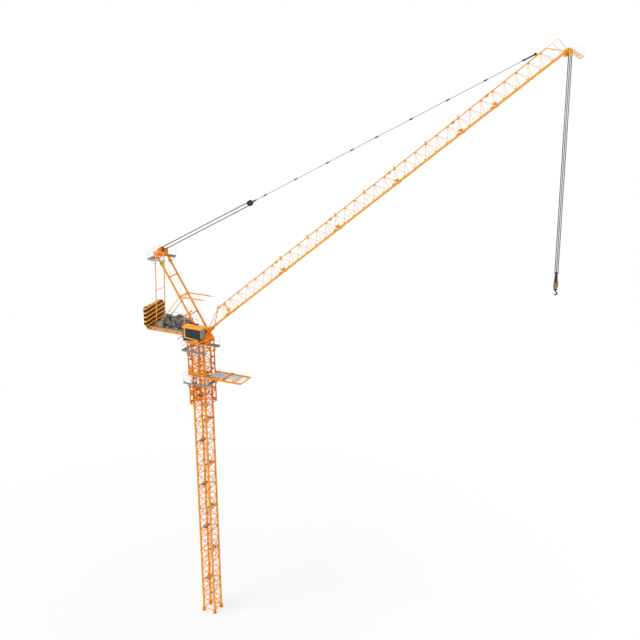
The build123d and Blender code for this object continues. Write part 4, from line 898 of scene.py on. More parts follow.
boxBm = bmesh.new()
addBlock(boxBm, at(-2.36, -0.64, 19.46), (0.28, 0.14, 0.36))
addBlock(boxBm, at(-2.36, -0.63, 19.65), (0.32, 0.2, 0.02))
softenEdges(boxBm, 0.008)
for side in (-1, 1):
    addBlock(boxBm, at(-2.36 + side * 0.068, -0.714, 19.47), (0.126, 0.01, 0.3))
    addBlock(boxBm, at(-2.36 + side * 0.014, -0.722, 19.47), (0.01, 0.012, 0.06))
finishPiece(boxBm, "deck_switch_box", "upperworks", "machine_grey", "light_grey")
print("winches and cabinet dressed")

# cab: dark side panels with a yellow band, roof with a front overhang, screen, seat, wiper, lamps and rails
cabSizes = {"rear": -0.448, "front": 0.724, "near": -1.2, "far": -0.6, "middle": -0.9, "floor": 18.965,
            "panelTop": 19.735, "bandX": -0.32, "bandWide": 0.11, "bandTop": 19.76, "bandRear": 19.176,
            "bandFront": 19.072, "bandTall": 0.075, "roofFront": 0.82, "roofLow": 19.735, "roofTop": 19.835,
            "screenLow": 19.15, "screenTop": 19.69, "screenWide": 0.572}
cabPanelBm = bmesh.new()
cabBandBm = bmesh.new()
rear, front, cabY, floorZ = (cabSizes[name] for name in ("rear", "front", "middle", "floor"))
panelTop, bandX, bandRear = (cabSizes[name] for name in ("panelTop", "bandX", "bandRear"))
for y, side in ((cabSizes["near"], -1), (cabSizes["far"], 1)):
    middle = at((rear + front) / 2, y + side * 0.006, (floorZ + panelTop) / 2)
    panel = addBlock(cabPanelBm, middle, (front - rear, 0.012, panelTop - floorZ))
    parts = panel + edgesOf(panel) + list({f for v in panel for f in v.link_faces})
    bmesh.ops.bisect_plane(cabPanelBm, geom=parts, plane_co=at(0.552, y, floorZ), plane_no=(1, 0, -1),
                           clear_outer=True)
    parts = [*cabPanelBm.verts, *cabPanelBm.edges, *cabPanelBm.faces]
    bmesh.ops.bisect_plane(cabPanelBm, geom=parts, plane_co=at(rear, y, floorZ), plane_no=(0.07, 0, -1),
                           clear_outer=True)
    out = y + side * 0.018
    addBar(cabBandBm, at(bandX, out, bandRear - 0.04), at(bandX, out, cabSizes["bandTop"]),
           0.014, cabSizes["bandWide"])
    addBar(cabBandBm, at(bandX - 0.04, out, bandRear), at(0.6, out, cabSizes["bandFront"]),
           0.018, cabSizes["bandTall"])
bmesh.ops.holes_fill(cabPanelBm, edges=[e for e in cabPanelBm.edges if e.is_boundary])
finishPiece(cabPanelBm, "cab_side_panels", "upperworks", "glass")
finishPiece(cabBandBm, "cab_side_band", "upperworks", "cab_paint", "cab_yellow")

screenBm = bmesh.new()
low, high, wide = (cabSizes[name] for name in ("screenLow", "screenTop", "screenWide"))
addBlock(screenBm, at(0.729, cabY, (low + high) / 2), (0.01, wide, high - low))
addBar(screenBm, at(0.567, cabY, 18.975), at(0.727, cabY, 19.135), wide, 0.01)
finishPiece(screenBm, "cab_front_screen", "upperworks", "glass", "front_glass_painted_reflection")

cabRoofBm = bmesh.new()
low, high, front = (cabSizes[name] for name in ("roofLow", "roofTop", "roofFront"))
roofLong = front + 0.475
addBlock(cabRoofBm, at(front - roofLong / 2, cabY, (low + high) / 2), (roofLong, 0.652, high - low))
softenEdges(cabRoofBm, 0.02)
addBlock(cabRoofBm, at(-0.05, cabY, 19.846), (0.42, 0.36, 0.03))
for y in (-1.02, -0.78):
    addBar(cabRoofBm, at(-0.4, y, 19.84), at(0.72, y, 19.84), 0.03, 0.014)
finishPiece(cabRoofBm, "cab_roof_cap", "upperworks", "cab_paint")

cabDarkBm = bmesh.new()
addBlock(cabDarkBm, at(-0.12, cabY, 18.957), (0.64, 0.59, 0.02))
for y in (-1.214, -0.586):  # door and window seams
    for x in (-0.24, 0.16):
        addBlock(cabDarkBm, at(x, y, 19.45), (0.012, 0.006, 0.52))
    addBar(cabDarkBm, at(-0.24, y, 19.71), at(0.7, y, 19.71), 0.006, 0.014)
for y in (-1.19, -0.61):
    addBlock(cabDarkBm, at(0.731, y, 19.42), (0.014, 0.022, 0.55))
for z in (19.148, 19.69):
    addBar(cabDarkBm, at(0.731, -1.19, z), at(0.731, -0.61, z), 0.012, 0.018)
addBar(cabDarkBm, at(0.741, -0.72, 19.24), at(0.741, -0.98, 19.55), 0.01, 0.012)  # wiper arm and blade
addBar(cabDarkBm, at(0.737, cabY, 19.42), at(0.737, -1.08, 19.66), 0.01, 0.016)
addBlock(cabDarkBm, at(0.744, -0.72, 19.23), (0.03, 0.05, 0.04))
addBlock(cabDarkBm, at(-0.18, -1.222, 19.36), (0.09, 0.016, 0.024))  # door handle
addBlock(cabDarkBm, at(-0.02, -0.64, 19.862), (0.66, 0.09, 0.06))  # air unit along the far roof edge
finishPiece(cabDarkBm, "cab_window_seals", "upperworks", "hook_steel", "black_rubber")

cabStepBm = bmesh.new()
for y in (-1.1, -0.92):
    addBar(cabStepBm, at(-0.92, y, 18.92), at(-0.6, y, 19.12), 0.012, 0.04)
for k in range(4):
    addBlock(cabStepBm, at(-0.9 + k * 0.09, -1.01, 18.95 + k * 0.056), (0.07, 0.18, 0.01))
for y in (-1.1, -0.92):
    addBar(cabStepBm, at(-0.62, y, 19.1), at(-0.45, y, 19.1), 0.02)
finishPiece(cabStepBm, "cab_step", "upperworks", "galvanised")

seatBm = bmesh.new()
addBlock(seatBm, at(0, cabY, 19.2), (0.26, 0.26, 0.08))
backTurn = Matrix.Rotation(radians(-12), 4, "Y")
addBlock(seatBm, at(-0.15, cabY, 19.4), (0.07, 0.25, 0.38), backTurn)
addBlock(seatBm, at(-0.19, cabY, 19.62), (0.05, 0.14, 0.09), backTurn)
softenEdges(seatBm, 0.02)
for y in (-1.06, -0.74):
    addBlock(seatBm, at(0.02, y, 19.2), (0.26, 0.07, 0.17))
    addTube(seatBm, at(0.1, y, 19.28), at(0.12, y, 19.37), 0.012, 8)
    bmesh.ops.create_uvsphere(seatBm, u_segments=10, v_segments=6, radius=0.02,
                              matrix=Matrix.Translation(at(0.12, y, 19.38)))
addBlock(seatBm, at(0, cabY, 19.08), (0.16, 0.16, 0.17))
addBlock(seatBm, at(0.5, -1.05, 19.25), (0.06, 0.16, 0.2))
finishPiece(seatBm, "cab_seat_and_consoles", "upperworks", "machine_grey", "black_rubber")

cabRailBm = bmesh.new()
for x in (-0.36, -0.2):
    for z in (19.15, 19.6):
        addBar(cabRailBm, at(x, -0.59, z), at(x, -0.55, z), 0.014)
    addTube(cabRailBm, at(x, -0.55, 19.12), at(x, -0.55, 19.63), 0.009, 8)
finishPiece(cabRailBm, "cab_grab_rails", "upperworks", "rail_paint")
lampBm = bmesh.new()
for y in (-1.1, -0.7):
    addTube(lampBm, at(0.75, y, 19.715), at(0.8, y, 19.705), 0.022, 16, 0.028)
    addBlock(lampBm, at(0.76, y, 19.73), even(0.03))
finishPiece(lampBm, "cab_work_lamps", "upperworks", "machine_grey")
print("cab dressed")

# A-frame: round leg joints, faint lacing between the legs, a thin ladder and a tie between the rear bars
frameSizes = {"footX": 0.143, "footZ": 19.3605, "topX": -2.4223, "topZ": 23.6, "legY": 0.45, "lace": 0.01,
              "laceY": 0.42, "shares": (0.036, 0.2217, 0.3486, 0.467, 0.5989, 0.7288, 0.9),
              "gussets": (0.2217, 0.467, 0.7288), "ladderY": (0.38, 0.52), "ladderOut": 0.2, "rung": 0.0339,
              "jointShare": 0.9104, "joint": 0.092, "tieLevel": 21.5, "rearX": -2.8}


def onLeg(share, y, out=0.0):
    x = frameSizes["footX"] + (frameSizes["topX"] - frameSizes["footX"]) * share
    z = frameSizes["footZ"] + (frameSizes["topZ"] - frameSizes["footZ"]) * share
    return at(x + out * 0.8556, y, z + out * 0.5177)


laceBm = bmesh.new()
levels = frameSizes["shares"]
for k, (low, high) in enumerate(zip(levels, levels[1:])):
    lean = frameSizes["laceY"] if k % 2 else -frameSizes["laceY"]
    addBar(laceBm, onLeg(low, -lean), onLeg(high, lean), frameSizes["lace"])
finishPiece(laceBm, "a_frame_lacing", "upperworks", "pale_paint")

ladderBm = bmesh.new()
out = frameSizes["ladderOut"]
for y in frameSizes["ladderY"]:
    addBar(ladderBm, onLeg(0.06, y, out), onLeg(0.88, y, out), 0.008)
for k in range(24):
    ends = [onLeg(0.065 + k * frameSizes["rung"], y, out) for y in frameSizes["ladderY"]]
    addBar(ladderBm, *ends, 0.006)
for share in levels[1:-1:2]:
    for y in frameSizes["ladderY"]:
        addBar(ladderBm, onLeg(share, y), onLeg(share, y, out), 0.008)
finishPiece(ladderBm, "a_frame_ladder", "upperworks", "rail_paint")

gussetBm = bmesh.new()
joint, rearX, legY = frameSizes["jointShare"], frameSizes["rearX"], frameSizes["legY"]
for y in (-legY, legY):
    for share in frameSizes["gussets"]:
        addBar(gussetBm, onLeg(share - 0.02, y), onLeg(share + 0.02, y), 0.094, 0.094)
        addTube(gussetBm, onLeg(share, y - 0.056), onLeg(share, y + 0.056), 0.03, 12)
    addTube(gussetBm, onLeg(joint, y - 0.062), onLeg(joint, y + 0.062), frameSizes["joint"], 20)
    addTube(gussetBm, onLeg(joint, y - 0.078), onLeg(joint, y + 0.078), 0.04, 12)
    addBar(gussetBm, onLeg(0.01, y), onLeg(0.05, y), 0.12, 0.11)
    addBlock(gussetBm, at(rearX, y, 19.33), (0.13, 0.075, 0.12))
    addTube(gussetBm, at(rearX, y - 0.05, 19.35), at(rearX, y + 0.05, 19.35), 0.024, 12)
    addBlock(gussetBm, at(-2.615, y, 23.53), (0.09, 0.075, 0.14))
finishPiece(gussetBm, "a_frame_gussets", "upperworks", "tower_paint")
tieBm = bmesh.new()
tieZ = frameSizes["tieLevel"]
tieX = rearX + 0.19 * (tieZ - 19.27) / 4.33
addBar(tieBm, at(tieX, -legY, tieZ), at(tieX, legY, tieZ), 0.03)
finishPiece(tieBm, "rear_tie_cross_bar", "upperworks", "pale_paint")

# A-frame head: end plates on the beam, axle ends, guard bars, platform treads, toe boards and brackets
headSizes = {"middle": -2.51, "faces": (-2.668, -2.352), "rear": -2.66, "plateY": 0.497, "cheekY": 0.156,
             "deckRear": -3.05, "deckFront": -1.88, "deckTop": 23.453, "deckHalf": 0.66, "deckInner": 0.492,
             "guards": ((-2.62, 24.03), (-2.40, 24.06), (-2.62, 23.86)), "tread": (0.008, 0.01),
             "toe": (0.005, 0.08)}
headBm = bmesh.new()
for side in (-1, 1):
    addBlock(headBm, at(headSizes["middle"], side * headSizes["plateY"], 23.76), (0.34, 0.016, 0.36))
    addBlock(headBm, at(headSizes["middle"], side * 0.3, 23.912), (0.34, 0.36, 0.02))
    for x in headSizes["faces"]:
        addBlock(headBm, at(x, side * 0.3, 23.76), (0.014, 0.4, 0.03))
        for y in (0.2, 0.4):
            addBlock(headBm, at(x, side * y, 23.75), (0.016, 0.016, 0.28))
    for low, high, wide, sides in ((-0.004, 0.022, 0.062, 20), (0.022, 0.03, 0.03, 12)):
        ends = [at(headSheave.x, side * (headSizes["cheekY"] + out), headSheave.z) for out in (low, high)]
        addTube(headBm, *ends, wide, sides)
    for x, shift in ((-2.6, 0.05), (-2.4, -0.03)):
        addBar(headBm, at(x, side * 0.3, 23.92), at(x + shift, side * 0.16, 24.03), 0.014, 0.06)
for x, z in headSizes["guards"]:
    addTube(headBm, at(x, -0.14, z), at(x, 0.14, z), 0.012, 8)
finishPiece(headBm, "a_frame_head_plates", "upperworks", "tower_paint", "rich_orange")
headTreadBm = bmesh.new()
rear, front, deckTop, half = (headSizes[name] for name in ("deckRear", "deckFront", "deckTop", "deckHalf"))
toeZ = deckTop + 0.018
for k in range(26):
    y = -0.64 + k * 0.0512
    ends = [at(x, y, deckTop) for x in (rear + 0.005, headSizes["rear"] - 0.005)]
    addBar(headTreadBm, *ends, *headSizes["tread"])
for side in (-1, 1):
    for k in range(14):
        x = headSizes["rear"] + 0.03 + k * 0.056
        ends = [at(x, side * y, deckTop) for y in (headSizes["deckInner"], 0.655)]
        addBar(headTreadBm, *ends, *headSizes["tread"])
    edge = side * (half - 0.003)
    addBar(headTreadBm, at(rear, edge, toeZ), at(front, edge, toeZ), *headSizes["toe"])
addBar(headTreadBm, at(rear + 0.003, -half, toeZ), at(rear + 0.003, half, toeZ), *headSizes["toe"])
finishPiece(headTreadBm, "head_platform_treads", "upperworks", "galvanised")
headStrutBm = bmesh.new()
for side in (-1, 1):  # brackets under the platform, from the legs and the ties
    addBar(headStrutBm, at(-2.3, side * 0.49, 23.4), at(-1.92, side * 0.56, 23.4), 0.03)
    addBar(headStrutBm, onLeg(0.87, side * 0.48), at(-1.95, side * 0.6, 23.39), 0.022)
    addBar(headStrutBm, at(-2.62, side * 0.46, 23.4), at(-3.03, side * 0.46, 23.4), 0.03)
    addBar(headStrutBm, at(-2.63, side * 0.46, 23.1), at(-3.0, side * 0.46, 23.39), 0.022)
finishPiece(headStrutBm, "head_platform_brackets", "upperworks", "tower_paint")
print("A-frame dressed")

# luffing line: rope guards and pins on the floating block, and the eyes and pins of the pendant links
lineSizes = {"block": 7.04, "tail": 7.34, "end": 25.09, "cheekY": 0.083, "linkY": 0.062, "fork": 24.5,
             "lug": 25.14, "guards": ((7.04, 0.145), (7.04, -0.145), (6.9, 0), (7.18, 0.06), (7.18, -0.06)),
             "links": (0.0045, 0.0465, 0.171, 0.295, 0.387, 0.4775, 0.6, 0.7235, 0.8475, 0.9725)}
blockBm = bmesh.new()
middle = lineSizes["block"]
for side in (-1, 1):
    y = side * lineSizes["cheekY"]
    addTube(blockBm, onLine(middle, y, 0), onLine(middle, y + side * 0.012, 0), 0.06, 20)
    addTube(blockBm, onLine(middle, y + side * 0.012, 0), onLine(middle, y + side * 0.03, 0), 0.034, 6)
    addBar(blockBm, onLine(6.96, y, 0), onLine(7.36, y, 0), 0.014, 0.09)
    for k in range(6):
        spot = onLine(middle + 0.14 * cos(tau * k / 6), y, 0.14 * sin(tau * k / 6))
        addTube(blockBm, spot, spot + Vector((0, side * 0.016, 0)), 0.012, 6)
for s, n in lineSizes["guards"]:
    addTube(blockBm, onLine(s, -0.08, n), onLine(s, 0.08, n), 0.012, 8)
finishPiece(blockBm, "floating_block_fittings", "jib", "machine_grey", "black_rubber")
linkBm = bmesh.new()
pendantLong = lineSizes["end"] - lineSizes["tail"]
for share in lineSizes["links"]:
    s = lineSizes["tail"] + share * pendantLong
    for y in (-lineSizes["linkY"], lineSizes["linkY"]):
        addBar(linkBm, onLine(s - 0.075, y, 0), onLine(s + 0.075, y, 0), 0.014, 0.07)
    for end in (-0.045, 0.045):
        addTube(linkBm, onLine(s + end, -0.082, 0), onLine(s + end, 0.082, 0), 0.02, 10)
        addTube(linkBm, onLine(s + end, -0.09, 0), onLine(s + end, -0.08, 0), 0.03, 6)
    addBar(linkBm, onLine(s - 0.1, 0, 0), onLine(s + 0.1, 0, 0), 0.048, 0.05)
for side in (-1, 1):  # dark end fork and cheeks over the jib's lug
    fork, lug = lineSizes["fork"], lineSizes["lug"]
    addBar(linkBm, onLine(fork, side * 0.045, 0), onLine(25.2, side * 0.045, 0), 0.02, 0.07)
    addTube(linkBm, onLine(lug, side * 0.034, 0), onLine(lug, side * 0.085, 0), 0.058, 18)
    addTube(linkBm, onLine(fork, side * 0.03, 0), onLine(fork, side * 0.07, 0), 0.05, 16)
finishPiece(linkBm, "pendant_link_plates", "jib", "machine_grey", "black_rubber")
print("luffing line dressed")

# jib: splice eyes with pins at the section joints, node plates, bottom lacing, rope rests on the top chord
jibSizes = {"half": 0.34, "depth": 0.7, "bay": 0.738, "start": 2.109, "end": 26.463, "thin": 0.009,
            "laceY": 0.32, "joints": (6.537, 10.965, 15.393, 19.821, 22.035), "rests": 6.95,
            "restPitch": 2.214, "restCount": 7}
chordLines = ((-jibSizes["half"], 0, 0.06), (jibSizes["half"], 0, 0.06), (0, jibSizes["depth"], 0.056))
spliceBm = bmesh.new()
pinsBm = bmesh.new()
for s in jibSizes["joints"]:
    for y, n, chord in chordLines:
        for side in (-1, 1):
            plateY, pinY, pinEnd = (y + side * (chord / 2 + out) for out in (0.009, 0.017, 0.027))
            addBar(spliceBm, onJib(s - 0.1, plateY, n), onJib(s + 0.1, plateY, n), 0.016, 0.084)
            for pinS in (s - 0.055, s + 0.055):
                addTube(pinsBm, onJib(pinS, pinY, n), onJib(pinS, pinEnd, n), 0.021, 10)
        addBar(spliceBm, onJib(s - 0.012, y, n), onJib(s + 0.012, y, n), chord + 0.03, chord + 0.03)
        rise = 0.042 if n == 0 else -0.042
        addBar(spliceBm, onJib(s - 0.09, y, n + rise), onJib(s + 0.09, y, n + rise), 0.03, 0.06)
finishPiece(spliceBm, "jib_splice_eyes", "jib", "jib_paint", "tower_paint")
finishPiece(pinsBm, "jib_splice_pins", "jib", "pin_steel", "tower_paint")

bayCount = round((jibSizes["end"] - jibSizes["start"]) / jibSizes["bay"])
nodeBm = bmesh.new()
thinBm = bmesh.new()
for k in range(bayCount + 1):
    s = jibSizes["start"] + k * jibSizes["bay"]
    for side in (-1, 1):
        footY = side * jibSizes["half"] * 0.985
        addBar(nodeBm, onJib(s - 0.06, footY, 0.045), onJib(s + 0.06, footY, 0.045), 0.012, 0.06)
        if k < bayCount - 1:
            y = side * 0.022
            addBar(nodeBm, onJib(s + 0.31, y, 0.652), onJib(s + 0.43, y, 0.652), 0.012, 0.06)
    if k < bayCount:
        edge = jibSizes["laceY"]
        lean = -edge if k % 2 else edge
        addBar(thinBm, onJib(s, lean, 0.004), onJib(s + jibSizes["bay"], -lean, 0.004), jibSizes["thin"])
        addBar(thinBm, onJib(s, -edge, 0), onJib(s, edge, 0), jibSizes["thin"] + 0.004)
finishPiece(nodeBm, "jib_node_plates", "jib", "jib_paint")
finishPiece(thinBm, "jib_bottom_lacing", "jib", "jib_paint")

restBm = bmesh.new()
for k in range(jibSizes["restCount"]):
    s = jibSizes["rests"] + k * jibSizes["restPitch"]
    addBar(restBm, onJib(s, 0, 0.72), onJib(s, 0, 0.79), 0.04, 0.026)
    addBar(restBm, onJib(s, -0.065, 0.795), onJib(s, 0.065, 0.795), 0.034, 0.016)
    for side in (-1, 1):
        addBar(restBm, onJib(s, side * 0.06, 0.8), onJib(s, side * 0.072, 0.845), 0.026, 0.012)
        addBar(restBm, onJib(s - 0.07, side * 0.02, 0.725), onJib(s, side * 0.02, 0.785), 0.012, 0.012)
finishPiece(restBm, "pendant_rests", "jib", "jib_paint", "tower_paint")

# rope roller stands between the bottom chords, just past each section joint
standSizes = {"shift": 0.12, "half": 0.13, "rise": 0.2, "roller": 0.062}
standBm = bmesh.new()
for s in jibSizes["joints"]:
    middle = s + standSizes["shift"]
    addBar(standBm, onJib(middle, -jibSizes["half"], 0.005), onJib(middle, jibSizes["half"], 0.005), 0.04)
    addTube(standBm, onJib(middle, -0.12, 0.13), onJib(middle, 0.12, 0.13), standSizes["roller"], 18)
    for side in (-1, 1):
        y = side * standSizes["half"]
        addBar(standBm, onJib(middle, y, 0), onJib(middle, y, standSizes["rise"]), 0.13, 0.016)
        addTube(standBm, onJib(middle, y, 0.13), onJib(middle, y + side * 0.02, 0.13), 0.024, 10)
        addBar(standBm, onJib(middle - 0.05, y, 0.19), onJib(middle - 0.16, y, 0.01), 0.014)
finishPiece(standBm, "rope_roller_stands", "jib", "jib_paint", "tower_paint")

# jib foot: eye plates, knuckle plates, the post's collar and the buffers that the backstops meet
footPlates = {"knuckle": 1.434, "post": 1.94, "collar": 0.22, "bufferY": 0.45}
jibFootBm = bmesh.new()
tiltBack = Matrix.Rotation(-jibAngle, 4, "Y")
knuckle, post = footPlates["knuckle"], footPlates["post"]
for side in (-1, 1):
    y = side * jibSizes["half"]
    addBar(jibFootBm, onJib(0.16, y, 0), onJib(0.5, y, 0), 0.07, 0.1)
    addBlock(jibFootBm, onJib(knuckle, side * 0.062, 0.7), (0.16, 0.014, 0.12), tiltBack)
    addTube(jibFootBm, onJib(knuckle, side * 0.055, 0.7), onJib(knuckle, side * 0.085, 0.7), 0.034, 12)
    addBlock(jibFootBm, onJib(post, side * footPlates["bufferY"], 0.02), (0.13, 0.1, 0.12), tiltBack)
    addBlock(jibFootBm, onJib(post, y, 0.02), (0.16, 0.075, 0.12), tiltBack)
    for s in (1.46, 1.6):
        addBar(jibFootBm, onJib(s, side * 0.02, 0.68), onJib(s + 0.22, side * 0.32, 0.01), 0.011)
addBlock(jibFootBm, onJib(post, 0, footPlates["collar"]), (0.15, 0.12, 0.12), tiltBack)
addBlock(jibFootBm, onJib(post, 0, 0.66), (0.16, 0.09, 0.1), tiltBack)
for s in (0.75, 1.35):
    addBar(jibFootBm, onJib(s, -jibSizes["half"], 0), onJib(s, jibSizes["half"], 0), 0.03)
finishPiece(jibFootBm, "jib_foot_plates", "jib", "jib_paint", "tower_paint")
print("jib dressed")

# jib head: thin head rail, sheave side plates with axle ends, pendant lug pins, and an open tip platform
jibHeadBm = bmesh.new()
railEnd = onJib(26.44, 0, 0.7)
addBar(jibHeadBm, onJib(25.72, 0, 0.71), railEnd, 0.016)
for side in (-1, 1):
    addBar(jibHeadBm, railEnd, onJib(26.5, side * 0.16, 0.05), 0.014)
    addBar(jibHeadBm, onJib(26.1, 0, 0.7), onJib(26.2, side * 0.3, 0.03), 0.012)
finishPiece(jibHeadBm, "jib_head_rail", "jib", "pale_paint")
sheaveBm = bmesh.new()
for side in (-1, 1):
    y = side * 0.082
    addTube(sheaveBm, onJib(26.56, y, -0.12), onJib(26.56, y + side * 0.014, -0.12), 0.05, 20)
    addTube(sheaveBm, onJib(26.56, y + side * 0.014, -0.12), onJib(26.56, y + side * 0.026, -0.12), 0.026, 6)
    addBar(sheaveBm, onJib(26.36, y, 0.01), onJib(26.6, y, -0.06), 0.018, 0.11)
    addBlock(sheaveBm, onJib(26.43, side * 0.2, 0.0), (0.09, 0.2, 0.1), tiltBack)
    addTube(sheaveBm, onJib(26.64, y, -0.06), onJib(26.64, 0, -0.06), 0.012, 8)
    addBar(sheaveBm, onJib(26.41, side * 0.104, 0.08), onJib(26.26, side * 0.104, -0.2), 0.022, 0.15)
finishPiece(sheaveBm, "jib_head_side_plates", "jib", "jib_paint", "tower_paint")

tipSizes = {"start": 26.54, "rise": 0.06, "tilt": 70, "long": 0.78, "half": 0.42, "edge": 0.034, "bars": 5,
            "rail": 0.28, "posts": (0.04, 0.38, 0.72)}


def onTip(along, y, up):
    down = radians(tipSizes["tilt"])
    s = tipSizes["start"] + along * cos(down) + up * sin(down)
    n = tipSizes["rise"] - along * sin(down) + up * cos(down)
    return onJib(s, y, n)


tipBm = bmesh.new()
half = tipSizes["half"]
for y in (-half, half):
    addBar(tipBm, onTip(0, y, 0), onTip(tipSizes["long"], y, 0), tipSizes["edge"], 0.034)
for along in (0, 0.36, 0.55, tipSizes["long"]):
    addBar(tipBm, onTip(along, -half, 0), onTip(along, half, 0), tipSizes["edge"])
for y in (-0.073, 0.073):
    addBar(tipBm, onTip(0.126, y, -0.01), onTip(0.126, y, -0.15), 0.016, 0.06)
    addBar(tipBm, onTip(0.02, y, -0.004), onTip(0.72, y, -0.004), 0.02, 0.02)
finishPiece(tipBm, "tip_platform_frame", "jib", "jib_paint")
tipTreadBm = bmesh.new()
for k in range(tipSizes["bars"]):
    along = 0.34 + k * (tipSizes["long"] - 0.36) / (tipSizes["bars"] - 1)  # clear of the rope when low
    addBar(tipTreadBm, onTip(along, -half, 0.012), onTip(along, half, 0.012), 0.008, 0.008)
tipTreads = finishPiece(tipTreadBm, "tip_platform_grating", "jib", "jib_paint")
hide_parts("tip_platform")
tipRailBm = bmesh.new()
for y in (-half, half):
    for along in tipSizes["posts"]:
        addBar(tipRailBm, onTip(along, y, 0), onTip(along, y, tipSizes["rail"]), 0.008)
    for up in (tipSizes["rail"] / 2, tipSizes["rail"]):
        addBar(tipRailBm, onTip(0.04, y, up), onTip(0.72, y, up), 0.008)
for up in (tipSizes["rail"] / 2, tipSizes["rail"]):
    addBar(tipRailBm, onTip(0.72, -half, up), onTip(0.72, half, up), 0.008)
finishPiece(tipRailBm, "tip_platform_rails", "jib", "rail_paint")
print("jib head dressed")

# hook block: dark tapering rope guides, bronze cheeks over two sheaves, cross head and nut below
cheekSizes = {"wide": 0.2, "top": 0.48, "tall": 0.34, "thick": 0.022, "out": 0.084, "axle": 0.56,
              "head": 0.76, "bolts": ((-0.07, 0.52), (0.07, 0.52), (0, 0.72)), "round": 0.07}
cheekBm = bmesh.new()
for side in (-1, 1):
    middle = hookTop + Vector((0, side * cheekSizes["out"], -cheekSizes["top"] - cheekSizes["tall"] / 2))
    verts = addBlock(cheekBm, middle, (cheekSizes["wide"], cheekSizes["thick"], cheekSizes["tall"]))
    through = [e for e in edgesOf(verts) if abs((e.verts[0].co - e.verts[1].co).y) > 0.01]
    low = [e for e in through if e.verts[0].co.z < middle.z]
    bmesh.ops.bevel(cheekBm, geom=low, offset=cheekSizes["round"], affect="EDGES", segments=3, profile=0.5,
                    material=-1)
    for x, drop in cheekSizes["bolts"]:
        spot = hookTop + Vector((x, side * 0.095, -drop))
        addTube(cheekBm, spot, spot + Vector((0, side * 0.012, 0)), 0.016, 6)
    addBlock(cheekBm, middle + Vector((0, side * 0.016, 0)), (0.05, 0.014, 0.26))
cheeks = finishPiece(cheekBm, "hook_block_cheeks", "hook_block", "block_paint")
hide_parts("hook_block")
coreBm = bmesh.new()
axle = hookTop - lift(cheekSizes["axle"])
for side in (-1, 1):
    spot = axle + Vector((0, side * 0.025, 0))
    for low, high, wide in ((-0.017, -0.008, 0.084), (-0.008, 0.008, 0.066), (0.008, 0.017, 0.084)):
        addTube(coreBm, spot + Vector((0, low, 0)), spot + Vector((0, high, 0)), wide, 28)
    guide = addBlock(coreBm, hookTop + Vector((0, side * 0.078, -0.25)), (0.16, 0.02, 0.5))
    bmesh.ops.scale(coreBm, vec=(0.5, 1, 1), verts=[v for v in guide if v.co.z > hookTop.z - 0.1],
                    space=Matrix.Translation(-hookTop))
for x in (-0.11, 0.11):
    lean = Vector((x * 0.18, 0, 0.24))
    middle = hookTop + Vector((x * 0.52, 0, -0.25))
    addBar(coreBm, middle - Vector((-lean.x, 0, lean.z)), middle + Vector((-lean.x, 0, lean.z)), 0.15, 0.012)
addTube(coreBm, axle + Vector((0, -0.11, 0)), axle + Vector((0, 0.11, 0)), 0.03, 16)
addBlock(coreBm, hookTop + lift(-0.006), (0.2, 0.17, 0.024))  # plate that all six falls end in
head = hookTop - lift(cheekSizes["head"])
addBlock(coreBm, head, (0.09, 0.14, 0.09))
addTube(coreBm, head + Vector((0, -0.1, 0)), head + Vector((0, 0.1, 0)), 0.032, 16)
addTube(coreBm, head + lift(-0.04), head + lift(-0.079), 0.06, 24)
finishPiece(coreBm, "hook_block_sheaves", "hook_block", "machine_grey", "hook_steel")

# hook: forged bowl that swells at the bottom and thins to the tip, on a round shank
hookSizes = {"bowl": 0.083, "drop": 1.065, "sweep": 250, "steps": 30, "sides": 14, "neck": 0.032,
             "saddle": 0.046, "shank": ((0.224, 0.05), (0.212, 0.1), (0.182, 0.105), (0.16, 0.06),
                                        (0.12, 0.036))}
bowl = hookTop - lift(hookSizes["drop"])
hookBm = bmesh.new()


def addRing(bm, centre, along, thick, wide):
    face = along.to_track_quat("Z", "Y").to_matrix().to_4x4()
    spread = Matrix.Diagonal((wide, thick, 1, 1))
    made = bmesh.ops.create_circle(bm, segments=hookSizes["sides"], radius=1,
                                   matrix=Matrix.Translation(centre) @ face @ spread)
    return edgesOf(made["verts"])


rings = []
for z, wide in hookSizes["shank"]:
    rings.append(addRing(hookBm, bowl + lift(z), lift(-1), wide, wide))
for k in range(hookSizes["steps"] + 1):
    share = k / hookSizes["steps"]
    angle = radians(90 - hookSizes["sweep"] * share)
    swell = sin(pi * min(1, share * 1.15)) ** 0.8 if share < 0.87 else 0
    size = hookSizes["neck"] + (hookSizes["saddle"] - hookSizes["neck"]) * swell
    if share > 0.6:
        size *= 1 - 0.6 * ((share - 0.6) / 0.4) ** 1.5
    spot = bowl + Vector((cos(angle), 0, sin(angle))) * hookSizes["bowl"]
    rings.append(addRing(hookBm, spot, Vector((sin(angle), 0, -cos(angle))), size * 0.86, size))
for a, b in zip(rings, rings[1:]):
    bmesh.ops.bridge_loops(hookBm, edges=a + b)
bmesh.ops.holes_fill(hookBm, edges=[e for e in hookBm.edges if e.is_boundary])
hookPiece = finishPiece(hookBm, "forged_hook", "hook", "hook_steel", smooth=True)
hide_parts("hook")
latchBm = bmesh.new()
addBar(latchBm, bowl + Vector((-0.02, 0, 0.1)), bowl + Vector((-0.082, 0, 0.0)), 0.03, 0.008)
addTube(latchBm, bowl + Vector((-0.02, -0.03, 0.1)), bowl + Vector((-0.02, 0.03, 0.1)), 0.009, 8)
finishPiece(latchBm, "hook_latch", "hook", "pin_steel")
print("hook block dressed")

